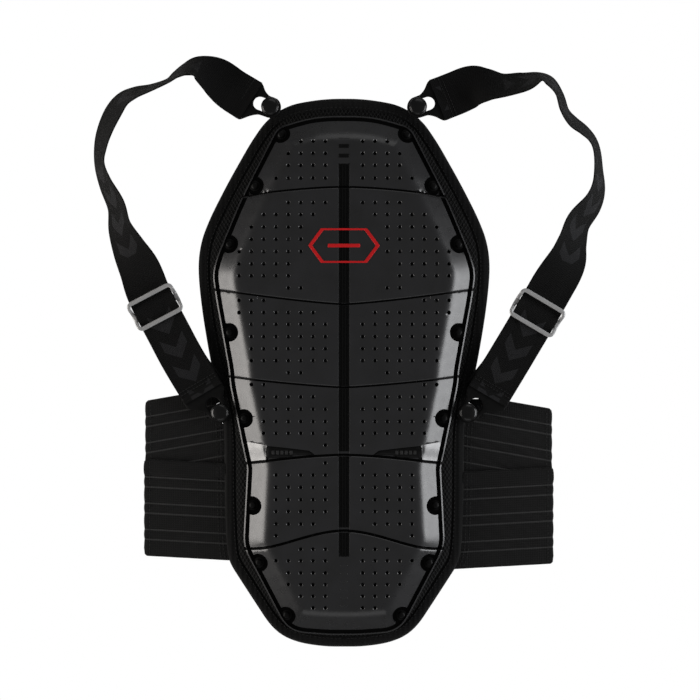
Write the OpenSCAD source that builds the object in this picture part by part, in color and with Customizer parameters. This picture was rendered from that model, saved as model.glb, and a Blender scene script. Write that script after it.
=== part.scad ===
// Articulated back protector lying on its inner face: six overlapping plates on a hinged,
// padded back panel, with two shoulder straps and a two-band elastic belt on each side.
// X runs across the back, Y up the spine towards the neck, Z out of the wearer's back.

/* [Plates] */
// Height of the plate edge above the rest face
lip_z = 15.5; // [15:0.5:18]
// Rise of the middle of the plates above their edge
crown_rise = 12.5; // [10:0.5:15]
// Wall thickness of the plates
wall = 2.4; // [2:0.1:2.8]
// Depth of the channel along the spine
channel_depth = 1; // [0.5:0.1:1.4]
// Half-width of the channel along the spine
channel_half = 4.7; // [3:0.1:6]
// Radius of the round pocket around a rivet
pocket_r = 8; // [6:0.5:8.5]
// Radius of a rivet's shank
shank_r = 2.5; // [2:0.1:3]

/* [Padding] */
// Thickness of the padding under the plates
pad_h = 9; // [8:0.5:9]
// Thickness of the bound edge of the padding
border_h = 7; // [5:0.5:8]
// Width of the bound edge of the padding
border_w = 9; // [6:1:12]
// Gap between neighbouring pads, which closes as the back bends
pad_gap = 3.4; // [3:0.1:5]
// Top of the energy-absorbing core
core_top = 20; // [16:0.5:20.5]

/* [Hinges] */
// Height of the hinge axes
hinge_z = 13.2; // [13:0.1:13.5]
// Radius of the hinge pins
pin_r = 1.5; // [1.2:0.1:1.6]
// Radial running clearance of a pin in the moving eye
pin_play = 0.05; // [0.02:0.01:0.09]
// Outer radius of a hinge eye
eye_r = 2.7; // [2.5:0.1:2.8]

/* [Straps] */
// Width of the shoulder webbing
strap_w = 38; // [30:1:40]
// Thickness of the shoulder webbing
strap_t = 2.4; // [1.6:0.2:2.6]
// Half-width of the slot in a strap end fitting
slot_r = 6; // [5:0.1:6.5]
// Radius of the stud neck under a button
neck_r = 2; // [1.5:0.1:2.2]
// Radius of a button
button_r = 7.8; // [7:0.1:8.2]

/* [Belt] */
// Thickness of a folded elastic band
band_t = 4; // [3:0.5:5]
// Height of the underside of the bands, over the closure patches
band_z = 1.5; // [1.5:0.1:2]

/* [Hidden] */

eps = 0.01;
$fn = 48;

// Half-width of the plate stack against Y
plate_outline = [
  [-186, 49], [-119, 84], [-110, 88], [-42, 84], [31, 100], [40, 100], [112, 113],
  [132, 115], [192, 90], [255, 58]
];
// Half-width of the padding against Y
pad_outline = [
  [-201, 0], [-198, 38], [-192, 54], [-182, 65], [-146, 89], [-126, 101.5], [-106, 103.5],
  [-71, 105], [-19, 105], [0, 107], [33, 114], [58, 119], [90, 124], [114, 127],
  [132, 128], [146, 127], [160, 124], [177, 117], [193, 109], [210, 100], [242, 82],
  [258, 71], [268, 60], [274.5, 48], [277, 38], [280.5, 0]
];
// Each seam from the neck down: Y at the spine, Y at the sides, and how it bows between
// them (a power, or 0 for an S). The first and last are the free ends of the stack.
seams = [
  [264, 255, 2], [200, 192, 1.7], [100, 113, 1.3], [28, 37, 1.3], [-30, -38, 1.6],
  [-97, -115, 0], [-189, -186, 2]
];
// The plate that lies on top at each seam
top_plate_at = [0, 2, 2, 3, 5, 6, 0];
// The segment that holds the pins of each seam, the one nearer the waist
pin_holder_at = [0, 2, 3, 4, 4, 5, 0];
// Plate height above its edge against the distance in from that edge
profile = [
  [0, 0], [1.2, 0], [1.8, -1], [4.5, -1], [7, 0.3], [14, 6], [20, 9.7], [24, 10.8],
  [34, 11.5], [60, 12.1], [115, 12.5]
];
profile_top = 12.5;
insets = [0, 1.2, 1.8, 4.5, 7, 14, 20, 24];
channel_ends = [-120, 221];
// Rows of a plate near an end: distance in from the seam, drop of the top face, and drop
// of the underside below the outer face
lap = 3;
lap_gap = 1.1;
tongue_top = wall + lap_gap;
tongue_under = tongue_top + 1.5;
on_top_rows = [[0, 0.6, wall], [1, 0, wall]];
tucked_rows = [
  [-lap, tongue_top, tongue_under], [1.4, tongue_top, tongue_under],
  [1.6, 1.2, tongue_under], [4.2, 0.9, tongue_under], [4.4, 0.9, wall + 0.9], [15, 0, wall]
];
free_rows = [for (d = insets) [d, 0, wall]];
middle_rows = [0.42, 0.56];
core_inset = 25;
hinge_arm = 8;

// Y of the rivets on each plate
rivet_rows = [[248, 203], [152], [75], [0], [-76], [-126, -172]];
rivet_inset = 6.5;
pocket_floor = lip_z - 0.95;

button_top = [64.5, 272];
button_waist = [108.3, 5];
tab_r = 8;
fitting_z = 11;
fitting_t = 3;
fitting_ring_r = 9.5;
slot_length = 9.6;
button_z = fitting_z + fitting_t + 2.6;
// Strap routes from the waist fitting to the top fitting: X outwards, Y, lift of the
// lower edge's middle, and how far the webbing is turned on edge, in degrees
route_left = [
  [126, 26.5, 12.5, 0], [134.5, 41, 15, 0], [143.5, 56.5, 15, 0], [153.5, 76.5, 15, 0],
  [164.8, 97, 15, 0], [171.8, 111.5, 13, 0], [178.5, 130, 8, 14], [187.5, 148, 4, 34],
  [195, 166, 2, 51], [198, 185, 2, 60], [207, 204, 2, 67], [212, 220, 2, 70],
  [211.5, 235, 2, 65], [208, 250, 2, 60], [201, 266, 2, 57], [193, 277, 2, 60],
  [182, 283, 2, 65], [168.5, 287, 2, 71], [153.5, 293, 2, 74], [145.5, 299, 2, 70],
  [137, 303.5, 3, 63], [127, 305.5, 4, 50], [113, 299.5, 7, 27], [99, 288, 10, 8],
  [86.5, 280, 12.5, 0]
];
route_right = [
  [128.5, 24.5, 12.5, 0], [137, 39, 15, 0], [146, 54, 15, 0], [157, 72.5, 15, 0],
  [168.5, 92, 15, 0], [182, 115, 11, 0], [194, 136, 6, 20], [199, 154, 3, 42],
  [204, 171, 2, 51], [216, 187, 2, 59], [221, 201, 2, 65], [221, 218, 2, 71],
  [219.5, 233, 2, 72], [215.5, 243, 2, 70], [208, 251, 2, 67], [199, 258, 2, 66],
  [191.5, 268, 2, 70], [187, 282, 2, 71], [179, 293, 2, 67], [170, 297, 2, 70],
  [157, 293, 3, 57], [140, 290, 4, 50], [125, 290.5, 7, 33], [112, 290, 9, 10],
  [98, 284.5, 11, 0], [87, 280, 12.5, 0]
];
adjuster_at = 4;
adjuster_half = [22, 12];
adjuster_bar = 3.4;

// Belt bands as outlines of the right side, outer ends first
belt_end_x = 178;
upper_band = [
  [belt_end_x, -36.5], [belt_end_x, 11], [134, 19], [119, 18], [117.5, -4], [108, -7],
  [105.6, -19], [105.6, -36.5]
];
lower_band = [
  [belt_end_x + 1, -124], [belt_end_x + 1, -42], [105.6, -42], [105.6, -71],
  [104.2, -106], [102.5, -122]
];

function mix(a, b, t) = a + (b - a) * t;
function plate_w(y) = lookup(y, plate_outline);
function pad_w(y) = lookup(y, pad_outline);
function bow(u, p) = p == 0 ? u * u * (3 - 2 * u) : pow(u, p);
function seam_y(k, u) = mix(seams[k][0], seams[k][1], bow(min(1, abs(u)), seams[k][2]));
function side_y(k) = seams[k][1];
function end_depth(i, x, y) =
  i == 1 ? seam_y(0, x / plate_w(y)) - y : i == 6 ? y - seam_y(6, x / plate_w(y)) : 1000;
function depth(i, x, y) = max(0, min(plate_w(y) - abs(x), end_depth(i, x, y)));
function channel(x, y) =
  abs(x) < channel_half && y > channel_ends[0] && y < channel_ends[1] ? channel_depth : 0;
function outer_z(i, x, y) = lip_z + lookup(depth(i, x, y), profile) * crown_rise / profile_top;

// Rows of plate i from its lower seam to its upper one: [share of the way, offset, drops]
function end_rows(i, k) =
  k == 0 || k == 6 ? free_rows : top_plate_at[k] == i ? on_top_rows : tucked_rows;
function reversed(list) = [for (n = [len(list) - 1 : -1 : 0]) list[n]];
function rows(i) = concat(
  [for (r = end_rows(i, i)) [0, r[0], r[1], r[2]]],
  [for (t = middle_rows) [t, 0, 0, wall]],
  [for (r = reversed(end_rows(i, i - 1))) [1, -r[0], r[1], r[2]]]
);
function row_y(i, row, u) = mix(seam_y(i, u), seam_y(i - 1, u), row[0]) + row[1];
function right_columns(w) = concat(
  [for (d = insets) w - d],
  [for (t = [0.66, 0.33]) mix(channel_half, w - insets[7], t)],
  [channel_half + 0.2, channel_half - 0.1]
);
function columns(w) = concat(right_columns(w), [for (x = reversed(right_columns(w))) -x]);

// A grid of points as a closed skin: first all top points, then all bottom ones
module skin(tops, bottoms) {
  m = len(tops[0]);
  n = len(tops);
  at = function (r, c) r * m + c;
  under = n * m;
  faces = concat(
    [for (r = [0 : n - 2], c = [0 : m - 2]) [at(r, c), at(r + 1, c + 1), at(r + 1, c)]],
    [for (r = [0 : n - 2], c = [0 : m - 2]) [at(r, c), at(r, c + 1), at(r + 1, c + 1)]],
    [for (r = [0 : n - 2], c = [0 : m - 2])
      [under + at(r, c), under + at(r + 1, c), under + at(r + 1, c + 1)]],
    [for (r = [0 : n - 2], c = [0 : m - 2])
      [under + at(r, c), under + at(r + 1, c + 1), under + at(r, c + 1)]],
    [for (c = [0 : m - 2]) [at(0, c + 1), at(0, c), under + at(0, c), under + at(0, c + 1)]],
    [for (c = [0 : m - 2])
      [at(n - 1, c), at(n - 1, c + 1), under + at(n - 1, c + 1), under + at(n - 1, c)]],
    [for (r = [0 : n - 2]) [at(r, 0), at(r + 1, 0), under + at(r + 1, 0), under + at(r, 0)]],
    [for (r = [0 : n - 2])
      [at(r + 1, m - 1), at(r, m - 1), under + at(r, m - 1), under + at(r + 1, m - 1)]]
  );
  polyhedron([for (row = concat(tops, bottoms), p = row) p], faces, convexity = 8);
}

module both_sides() {
  children();
  mirror([1, 0, 0]) children();
}

// The y range of segment i, between its two hinge lines
function low_y(i) = side_y(i);
function high_y(i) = side_y(i - 1);

module rivet_places(i) {
  for (y = rivet_rows[i - 1]) {
    both_sides() translate([plate_w(y) - rivet_inset, y, 0]) children();
  }
}

// Moulded outer plate, a shell with its channel and rivet pockets
module plate(i) {
  grid = [for (row = rows(i)) let (w = plate_w(row_y(i, row, 1)))
    [for (x = columns(w)) let (y = row_y(i, row, x / w), z = outer_z(i, x, y))
      [x, y, z - row[2] - channel(x, y), z - row[3] - channel(x, y)]]];
  color("#26282b") difference() {
    skin(
      [for (row = grid) [for (p = row) [p[0], p[1], p[2]]]],
      [for (row = grid) [for (p = row) [p[0], p[1], p[3]]]]
    );
    rivet_places(i) {
      translate([0, 0, pocket_floor]) cylinder(h = 2 * crown_rise, r = pocket_r);
      translate([0, 0, pad_h]) cylinder(h = lip_z, r = shank_r + 0.2);
    }
  }
}

// Outline of the padding or the plates between two levels, drawn in by an inset
module slice(table, from, to, inset) {
  levels = concat([from], [for (p = table) if (p[0] > from && p[0] < to) p[0]], [to]);
  right = [for (y = levels) [max(1, lookup(y, table) - inset), y]];
  polygon(concat(right, [for (p = reversed(right)) [-p[0], p[1]]]));
}

// Honeycomb energy-absorbing core
module core(i) {
  from = (i == 6 ? -162 : side_y(i) + 0.8);
  to = (i == 1 ? 232 : side_y(i - 1) - 0.8);
  color("#8f9296") translate([0, 0, pad_h + 0.3])
    linear_extrude(core_top - pad_h - 0.3) slice(plate_outline, from, to, core_inset);
}

// Padding with its bound edge, and the tabs that carry the strap buttons
module pad(i) {
  from = i == 6 ? pad_outline[0][0] : low_y(i) + pad_gap / 2;
  to = i == 1 ? pad_outline[len(pad_outline) - 1][0] : high_y(i) - pad_gap / 2;
  color("#141416") {
    linear_extrude(border_h) slice(pad_outline, from, to, 0);
    linear_extrude(pad_h)
      slice(pad_outline, i == 6 ? from + border_w : from, i == 1 ? to - border_w : to, border_w);
    if (i == 1) both_sides() translate(button_top) cylinder(h = border_h, r = tab_r);
    if (i == 4) both_sides() translate(button_waist) cylinder(h = border_h, r = tab_r);
  }
}

// Rivets with wide washers that floor the plate pockets, down to the padding
module rivets(i) {
  washer_z = pocket_floor + 0.05;
  color("#101012") rivet_places(i) {
    translate([0, 0, pad_h]) cylinder(h = washer_z - pad_h + eps, r = shank_r);
    translate([0, 0, washer_z]) cylinder(h = 1.2, r = pocket_r - 0.3);
    translate([0, 0, washer_z + 1.2 - eps]) cylinder(h = 1.4, r1 = 3.2, r2 = 2.2);
  }
}

// Dark ribbed strip in the channel along the spine
module spine_strip(i) {
  strip_rows = [for (row = rows(i)) let (y = row_y(i, row, 0))
    if (row[2] < tongue_top && y > channel_ends[0] + 2 && y < channel_ends[1] - 2) row];
  half = channel_half - 0.3;
  heights = [for (row = strip_rows) let (y = row_y(i, row, 0))
    [y, outer_z(i, 0, y) - row[2] - channel_depth]];
  color("#0b0b0c") skin(
    [for (p = heights) [for (x = [half, 0, -half]) [x, p[0], p[1] + 0.75]]],
    [for (p = heights) [for (x = [half, 0, -half]) [x, p[0], p[1] + 0.02]]]
  );
}

// Places of a seam's hinges; the children are drawn at the outer end of the hinge
module hinge_places(k) {
  both_sides() translate([plate_w(side_y(k)) - 14, side_y(k), hinge_z])
    rotate([0, -90, 0]) children();
}

module hinge_eye(from, bore_r, arm) {
  translate([0, 0, from]) difference() {
    union() {
      cylinder(h = 3.4, r = eye_r);
      translate([pad_h + 0.2 - hinge_z, min(0, arm * hinge_arm), 0])
        cube([hinge_z - 1.2 - pad_h, hinge_arm, 3.4]);
    }
    translate([0, 0, -1]) cylinder(h = 6, r = bore_r);
  }
}

// Hinge eyes moulded with short arms, at the seams above and below segment i
module hinge_lugs(i) {
  color("#2e3034") for (k = [i - 1, i]) {
    if (k > 0 && k < 6) hinge_places(k) {
      if (pin_holder_at[k] == i) hinge_eye(4, pin_r, k == i ? 1 : -1);
      else hinge_eye(0.2, pin_r + pin_play, k == i ? 1 : -1);
    }
  }
}

// Steel hinge pins of one seam
module hinge_pins(k) {
  color("silver") hinge_places(k) cylinder(h = 7.4, r = pin_r);
}

// Plain hexagonal badge with a bar across it
module emblem() {
  outline = [[31, 0], [20, 15], [-20, 15], [-31, 0], [-20, -15], [20, -15]];
  color("#c4161c") translate([0, 150, lip_z + crown_rise + 0.05]) linear_extrude(0.8) {
    difference() {
      polygon(outline);
      polygon(outline * 0.84);
    }
    translate([-14, -2]) square([28, 4]);
  }
}

// Dark inserts in the wedge windows along the lower edge of the fourth plate
module window_inserts() {
  stations = [[24, -31, 1], [36, -29, 3], [48, -28, 6], [58, -27, 8], [66, -27, 9]];
  thick = function (side, z) [for (s = stations) [for (e = [1, -1])
    let (y = s[1] - (1 - e) / 2 * s[2]) [side * s[0], y, outer_z(4, s[0], y) + z]]];
  color("#0b0b0c") both_sides() skin(thick(-1, 0.8), thick(-1, 0.35));
}

module band(outline) {
  color("#111113") translate([0, 0, band_z]) linear_extrude(band_t) polygon(outline);
}

// Closure patch on the inner face of a belt end, between two levels
module belt_patch(from, to) {
  color("#1b1b1d") translate([belt_end_x - 46, from, 0]) cube([42, to - from, band_z]);
}

// Shoulder webbing swept along its route, turned on edge where it twists
module strap(route) {
  last = len(route) - 1;
  rings = [for (n = [0 : last]) let (
      a = route[max(0, n - 1)], b = route[min(last, n + 1)], p = route[n],
      run = [b[0] - a[0], b[1] - a[1]] / norm([b[0] - a[0], b[1] - a[1]]),
      across = [-run[1] * cos(p[3]), run[0] * cos(p[3]), sin(p[3])],
      up = [run[1] * sin(p[3]), -run[0] * sin(p[3]), cos(p[3])],
      middle = [p[0], p[1], p[2] + strap_w / 2 * sin(p[3])])
    [for (s = [[1, 1], [-1, 1], [-1, -1], [1, -1]])
      middle + across * s[0] * strap_w / 2 + up * s[1] * strap_t / 2]];
  color("#121214") polyhedron(
    [for (ring = rings, p = ring) p],
    concat(
      [[0, 1, 2, 3]],
      [for (n = [0 : last - 1], c = [0 : 3])
        [n * 4 + c, n * 4 + 4 + (c + 1) % 4, n * 4 + (c + 1) % 4]],
      [for (n = [0 : last - 1], c = [0 : 3])
        [n * 4 + c, n * 4 + 4 + c, n * 4 + 4 + (c + 1) % 4]],
      [[for (c = [3 : -1 : 0]) last * 4 + c]]
    ),
    convexity = 8
  );
}

// End fitting from its button to the webbing, which starts at one place and leads to the
// next: slotted ring, neck and wide bar
module fitting(button, webbing, next) {
  turn = atan2(next[1] - webbing[1], next[0] - webbing[0]);
  d = [webbing[0] - button[0], webbing[1] - button[1]];
  reach = d * [cos(turn), sin(turn)];
  shift = d * [-sin(turn), cos(turn)];
  half = strap_w / 2;
  ring = fitting_ring_r;
  neck = [[0, ring, 0], [6, ring, 0.35], [11, 13, 0.65], [15, 17.5, 0.88], [17, half, 1], [reach - 1, half, 1]];
  side = function (s, list) [for (p = list) [p[0], shift * p[2] + s * p[1]]];
  translate([button[0], button[1], fitting_z]) rotate(turn) linear_extrude(fitting_t) difference() {
    union() {
      circle(r = ring);
      polygon(concat(side(1, neck), side(-1, reversed(neck))));
    }
    rotate(atan2(shift, reach)) {
      for (x = [0, slot_length]) translate([x, 0]) circle(r = slot_r);
      translate([0, -slot_r]) square([slot_length, 2 * slot_r]);
    }
  }
}

// Fitting at the top end of a strap
module top_fitting(route) {
  color("#0d0d0e") fitting(button_top, route[len(route) - 1], route[len(route) - 2]);
}

// Fittings at the waist ends of both straps
module waist_fittings() {
  color("#0d0d0e") {
    fitting(button_waist, route_right[0], route_right[1]);
    mirror([1, 0, 0]) fitting(button_waist, route_left[0], route_left[1]);
  }
}

// Sliding strap adjuster: two outer bars over the webbing, a middle bar under it
module adjuster(route) {
  p = route[adjuster_at];
  q = route[adjuster_at - 2];
  bar = adjuster_bar;
  rail = 2.4;
  over = p[2] + strap_t / 2 + 0.4;
  beneath = p[2] - strap_t / 2 - 0.4;
  color("#8b8e90") translate([p[0], p[1], 0])
    rotate([0, 0, atan2(p[1] - q[1], p[0] - q[0]) - 90]) {
      for (y = [-1, 1]) translate([-adjuster_half[0], y * adjuster_half[1] - bar / 2, over])
        cube([2 * adjuster_half[0], bar, rail]);
      translate([-adjuster_half[0], -bar / 2, beneath - rail]) cube([2 * adjuster_half[0], bar, rail]);
      for (x = [-1, 1])
        translate([x * (adjuster_half[0] - 1) - 1.2, -adjuster_half[1] - bar / 2, beneath - rail])
          cube([2.4, 2 * adjuster_half[1] + bar, over - beneath + 2 * rail]);
    }
}

// Round buttons on their necks
module buttons(place) {
  color("#050506") both_sides() translate(place) {
    translate([0, 0, border_h]) cylinder(h = button_z - border_h + eps, r = neck_r);
    translate([0, 0, button_z]) cylinder(h = 2.4, r = button_r);
    translate([0, 0, button_z + 2.4 - eps]) cylinder(h = 1.4, r1 = button_r, r2 = button_r - 2);
  }
}

plate(1);  // plate_1
plate(2);  // plate_2
plate(3);  // plate_3
plate(4);  // plate_4
plate(5);  // plate_5
plate(6);  // plate_6
core(1);  // core_1
core(2);  // core_2
core(3);  // core_3
core(4);  // core_4
core(5);  // core_5
core(6);  // core_6
pad(1);  // pad_1
pad(2);  // pad_2
pad(3);  // pad_3
pad(4);  // pad_4
pad(5);  // pad_5
pad(6);  // pad_6
rivets(1);  // rivets_1
rivets(2);  // rivets_2
rivets(3);  // rivets_3
rivets(4);  // rivets_4
rivets(5);  // rivets_5
rivets(6);  // rivets_6
spine_strip(1);  // spine_strip_1
spine_strip(2);  // spine_strip_2
spine_strip(3);  // spine_strip_3
spine_strip(4);  // spine_strip_4
spine_strip(5);  // spine_strip_5
spine_strip(6);  // spine_strip_6
hinge_lugs(1);  // hinge_lugs_1
hinge_lugs(2);  // hinge_lugs_2
hinge_lugs(3);  // hinge_lugs_3
hinge_lugs(4);  // hinge_lugs_4
hinge_lugs(5);  // hinge_lugs_5
hinge_lugs(6);  // hinge_lugs_6
hinge_pins(1);  // hinge_pins_1
hinge_pins(2);  // hinge_pins_2
hinge_pins(3);  // hinge_pins_3
hinge_pins(4);  // hinge_pins_4
hinge_pins(5);  // hinge_pins_5
emblem();
window_inserts();
mirror([1, 0, 0]) band(upper_band);  // belt_upper_left
band(upper_band);  // belt_upper_right
mirror([1, 0, 0]) band(lower_band);  // belt_lower_left
band(lower_band);  // belt_lower_right
mirror([1, 0, 0]) belt_patch(-34, 8);  // belt_patch_upper_left
belt_patch(-34, 8);  // belt_patch_upper_right
mirror([1, 0, 0]) belt_patch(-120, -46);  // belt_patch_lower_left
belt_patch(-120, -46);  // belt_patch_lower_right
mirror([1, 0, 0]) strap(route_left);  // strap_left
strap(route_right);  // strap_right
mirror([1, 0, 0]) top_fitting(route_left);  // top_fitting_left
top_fitting(route_right);  // top_fitting_right
waist_fittings();
mirror([1, 0, 0]) adjuster(route_left);  // adjuster_left
adjuster(route_right);  // adjuster_right
buttons(button_top);  // buttons_top
buttons(button_waist);  // buttons_waist
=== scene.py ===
"""Looks for the articulated back protector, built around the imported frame. Lengths are in metres."""

import math

import bpy
import numpy as np
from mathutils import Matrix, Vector, geometry


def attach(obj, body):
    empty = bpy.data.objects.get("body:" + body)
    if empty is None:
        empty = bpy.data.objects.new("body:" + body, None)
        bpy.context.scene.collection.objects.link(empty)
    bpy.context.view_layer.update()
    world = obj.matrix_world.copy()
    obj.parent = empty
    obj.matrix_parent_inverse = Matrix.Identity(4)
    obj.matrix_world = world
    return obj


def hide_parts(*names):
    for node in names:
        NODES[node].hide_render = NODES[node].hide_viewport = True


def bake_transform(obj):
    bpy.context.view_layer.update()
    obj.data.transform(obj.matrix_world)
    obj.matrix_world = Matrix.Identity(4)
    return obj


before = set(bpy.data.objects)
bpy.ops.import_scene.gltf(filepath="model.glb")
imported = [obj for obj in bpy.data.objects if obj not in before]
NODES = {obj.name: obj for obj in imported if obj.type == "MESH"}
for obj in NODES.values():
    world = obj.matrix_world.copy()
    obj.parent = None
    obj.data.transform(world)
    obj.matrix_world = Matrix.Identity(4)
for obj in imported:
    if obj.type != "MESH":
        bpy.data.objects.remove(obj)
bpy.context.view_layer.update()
MM = 0.001

# ---------------------------------------------------------------- shape of the protector, in mm

# Outline of the plate stack's right half from the tailbone up: X, Y and how far the corner rounds
PLATE_CORNERS = [
    (0, -189.2, 0), (14, -189.2, 14), (49, -186.5, 15), (84.5, -119, 5), (88, -109, 8), (84.6, -43, 3),
    (86.3, -36, 3), (100, 31, 6), (100.4, 41, 6), (113, 111, 12), (115.3, 131, 20), (90, 192, 16),
    (58.3, 254, 7), (30, 262.4, 20), (12, 264, 12), (0, 264, 0),
]
# The padding's outline in the same way
PAD_CORNERS = [
    (0, -201.4, 0), (16, -201.4, 14), (38, -198.4, 12), (54, -192.2, 10), (65.5, -182, 10), (89, -146, 16),
    (101.8, -126, 9), (104, -106, 12), (105.2, -71, 16), (105.2, -19, 18), (107, 0, 8), (114, 33, 16),
    (119, 58, 14), (124.3, 90, 14), (127.2, 114, 12), (128.3, 132, 10), (127.3, 146, 10), (124.2, 160, 12),
    (117.2, 177, 12), (109.2, 193, 14), (100.3, 210, 14), (82.2, 242, 12), (71.2, 258, 6), (60.3, 268.4, 8),
    (48, 274.7, 8), (38, 277.3, 8), (22, 279.8, 10), (9, 280.7, 8), (0, 280.7, 0),
]
# Each seam from the neck down: Y at the spine, Y at the sides, the curve between (0 is an S)
SEAMS = [
    (264, 255, 2), (200, 192, 1.7), (100, 113, 1.3), (28, 37, 1.3), (-32.2, -40.2, 1.6), (-98, -115, 0),
    (-189, -186, 2),
]
# The plate that lies on top at each seam
TOP_PLATE_AT = [0, 2, 2, 3, 5, 6, 0]
# Height of the plates' outer edge, spacing of points on their faces, their thickness and lowest level
LIP_Z = 15.5
FACE_STEP = 3.0
PLATE_WALL = 2.0
CORE_TOP = 9.4
# Bright bead along the edge, then the groove: distances in from the edge, and their depths
BEAD_DROP = 0.9
GROOVE = (1.15, 1.3, 4.5, 4.75)
GROOVE_Z = -2.3
# Slope of the side facets, and the distances in where they turn into the crown
FACET_SLOPE = 0.72
FACET_BEND = (13.5, 27.0)
CROWN_RISE = 1.1
# How far a tucked edge reaches under its neighbour, the gap at each seam (painted near-black as shade), and
# the gap's wall
LAP = 3.0
SEAM_GAPS = (0, 1.5, 1.4, 1.4, 1.9, 2.1, 0)
SEAM_WALL = 0.2
LAP_EASE = 1.2
# How far a tucked edge lies below the face: between the hinges, and at its ends beyond LAP_SIDE
LAP_DROPS = [(0, 0), (4.4, 6.0), (3.5, 3.5), (3.5, 3.5), (3.5, 3.5), (3.5, 3.5), (0, 0)]
LAP_SIDE = (78, 84)
# Channel along the spine: half-widths of its wall, its eased edge with that edge's drop, its depth and ends
CHANNEL = (4.45, 4.7)
CHANNEL_EASE = ((4.7, 5.4), 0.32)
CHANNEL_DEPTH = 0.7
CHANNEL_ENDS = (-120, 221.5)
# Rivet pockets: radius of their floor and mouth, their levels on each plate, their distance in from the edge
POCKET_R = (7.9, 8.15)
RIVET_ROWS = {1: (248, 203), 2: (152,), 3: (75,), 4: (0,), 5: (-76,), 6: (-126, -172)}
RIVET_INSET = 6.5
# Vent holes: for each plate, rows of (Y, first column, last column) on each side
VENT_R = 1.45
VENT_EASE = 0.5
VENT_X = 16.1
VENT_PITCH = 10.68
VENTS = {
    1: [(240.4, 0, 2), (229.9, 0, 3), (219.6, 0, 3), (208.5, 0, 4)],
    2: [(187.3, 0, 3), (177, 1, 5), (166.2, 2, 6), (155.6, 2, 6), (144.9, 2, 7), (134.2, 3, 7),
        (123.9, 3, 7), (113.4, 2, 3)],
    3: [(102.7, 5, 7), (92.1, 1, 7), (81.9, 0, 6), (71.2, 0, 6), (60.7, 0, 6), (50.4, 0, 6), (39.9, 2, 3)],
    4: [(29.6, 5, 6), (19, 1, 5), (8.4, 0, 5), (-2.3, 0, 5), (-12.5, 0, 5), (-22.8, 0, 0)],
    5: [(-38.2, 0, 0), (-48.7, 0, 4), (-59.3, 0, 4), (-70, 0, 4), (-80.3, 0, 4), (-91.1, 1, 4),
        (-101.3, 4, 4)],
    6: [(-112.9, 0, 2), (-123, 0, 4), (-133.4, 0, 3), (-143.6, 0, 3), (-153.6, 0, 2), (-163.8, 0, 1)],
}
# Wedge window in the lower edge of plate 4, right side, and the depth of its floor
WINDOW = [(23, -33), (30, -27.6), (50, -25.2), (67.5, -23.4), (67.5, -38.2), (50, -36.5), (36, -34.8)]
WINDOW_DEPTH = 1.7
# Polished field beyond the window, from its outer end to the groove
LABEL_X = 67.95
LABEL_END = 84
LABEL_TOP = (-22.6, -20.6)
LABEL_DEPTH = 0.35


# ---------------------------------------------------------------- outlines and heights


def rounded(corners):
    """The right half of an outline as points, with its corners rounded."""
    pts = [np.array(c[:2], float) for c in corners]
    out = [pts[0]]
    for i in range(1, len(pts) - 1):
        a, b, c, r = pts[i - 1], pts[i], pts[i + 1], corners[i][2]
        la, lc = np.linalg.norm(a - b), np.linalg.norm(c - b)
        p, q = b + (a - b) / la * min(r, la * 0.48), b + (c - b) / lc * min(r, lc * 0.48)
        for t in np.linspace(0, 1, 7):
            out.append((1 - t) ** 2 * p + 2 * t * (1 - t) * b + t * t * q)
    out.append(pts[-1])
    return np.array(out)


def resampled(line, step):
    """A polyline with points at even steps."""
    run = np.concatenate([[0], np.cumsum(np.linalg.norm(np.diff(line, axis=0), axis=1))])
    s = np.linspace(0, run[-1], max(2, int(round(run[-1] / step)) + 1))
    return np.stack([np.interp(s, run, line[:, k]) for k in range(line.shape[1])], 1)


PLATE_LINE = resampled(rounded(PLATE_CORNERS), 2.0)
PAD_LINE = resampled(rounded(PAD_CORNERS), 2.0)


def distance(line, x, y):
    """Distance from a polyline in plan."""
    p = np.stack([x, y], -1)[..., None, :]
    a, b = line[:-1], line[1:]
    ab = b - a
    t = np.clip(((p - a) * ab).sum(-1) / (ab * ab).sum(-1), 0, 1)
    return np.sqrt((((a + t[..., None] * ab) - p) ** 2).sum(-1)).min(-1)


def depth(line, x, y):
    """Distance in from a half outline, with both halves alike."""
    return distance(line, np.abs(x), y)


def polygon_contains(poly, x, y):
    """Whether points lie within a polygon."""
    hit = np.zeros(np.shape(x), bool)
    for (x0, y0), (x1, y1) in zip(poly, np.roll(poly, -1, axis=0)):
        crosses = (y0 > y) != (y1 > y)
        with np.errstate(divide="ignore", invalid="ignore"):
            hit ^= crosses & (x < (x1 - x0) * (y - y0) / (y1 - y0) + x0)
    return hit


def inside(line, x, y):
    """Whether points lie within a half outline, with both halves alike."""
    return polygon_contains(line, np.abs(x), y)


def width_at(line, y):
    """Half-width of an outline at a level."""
    return float(np.interp(y, line[:, 1], line[:, 0]))


def seam_y(k, x):
    centre, side, power = SEAMS[k]
    u = np.clip(np.abs(x) / width_at(PLATE_LINE, side), 0, 1)
    bow = u * u * (3 - 2 * u) if power == 0 else u**power
    return centre + (side - centre) * bow


def ramp(t, low, high):
    return np.clip((t - low) / (high - low), 0, 1)


def smooth(t, low, high):
    s = ramp(t, low, high)
    return s * s * (3 - 2 * s)


def dome_height(d):
    """Height of the plates over their edge, against the distance in from it."""
    a, b = FACET_BEND
    s = ramp(d, a, b)
    rise = np.clip(np.minimum(d, a) - GROOVE[3], 0, None) + (b - a) * (s - s**3 + s**4 / 2)
    crown = CROWN_RISE * (1 - np.exp(-np.clip(d - 20, 0, None) / 35))
    face = 0.5 + FACET_SLOPE * rise + crown
    bead = BEAD_DROP * (ramp(d, 0, GROOVE[0]) - 1)
    groove = np.where(d < GROOVE[1], bead + (GROOVE_Z - bead) * ramp(d, GROOVE[0], GROOVE[1]), GROOVE_Z)
    return groove + (face - groove) * ramp(d, GROOVE[2], GROOVE[3])


def tucked(i, k):
    return k not in (0, 6) and TOP_PLATE_AT[k] != i


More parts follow.
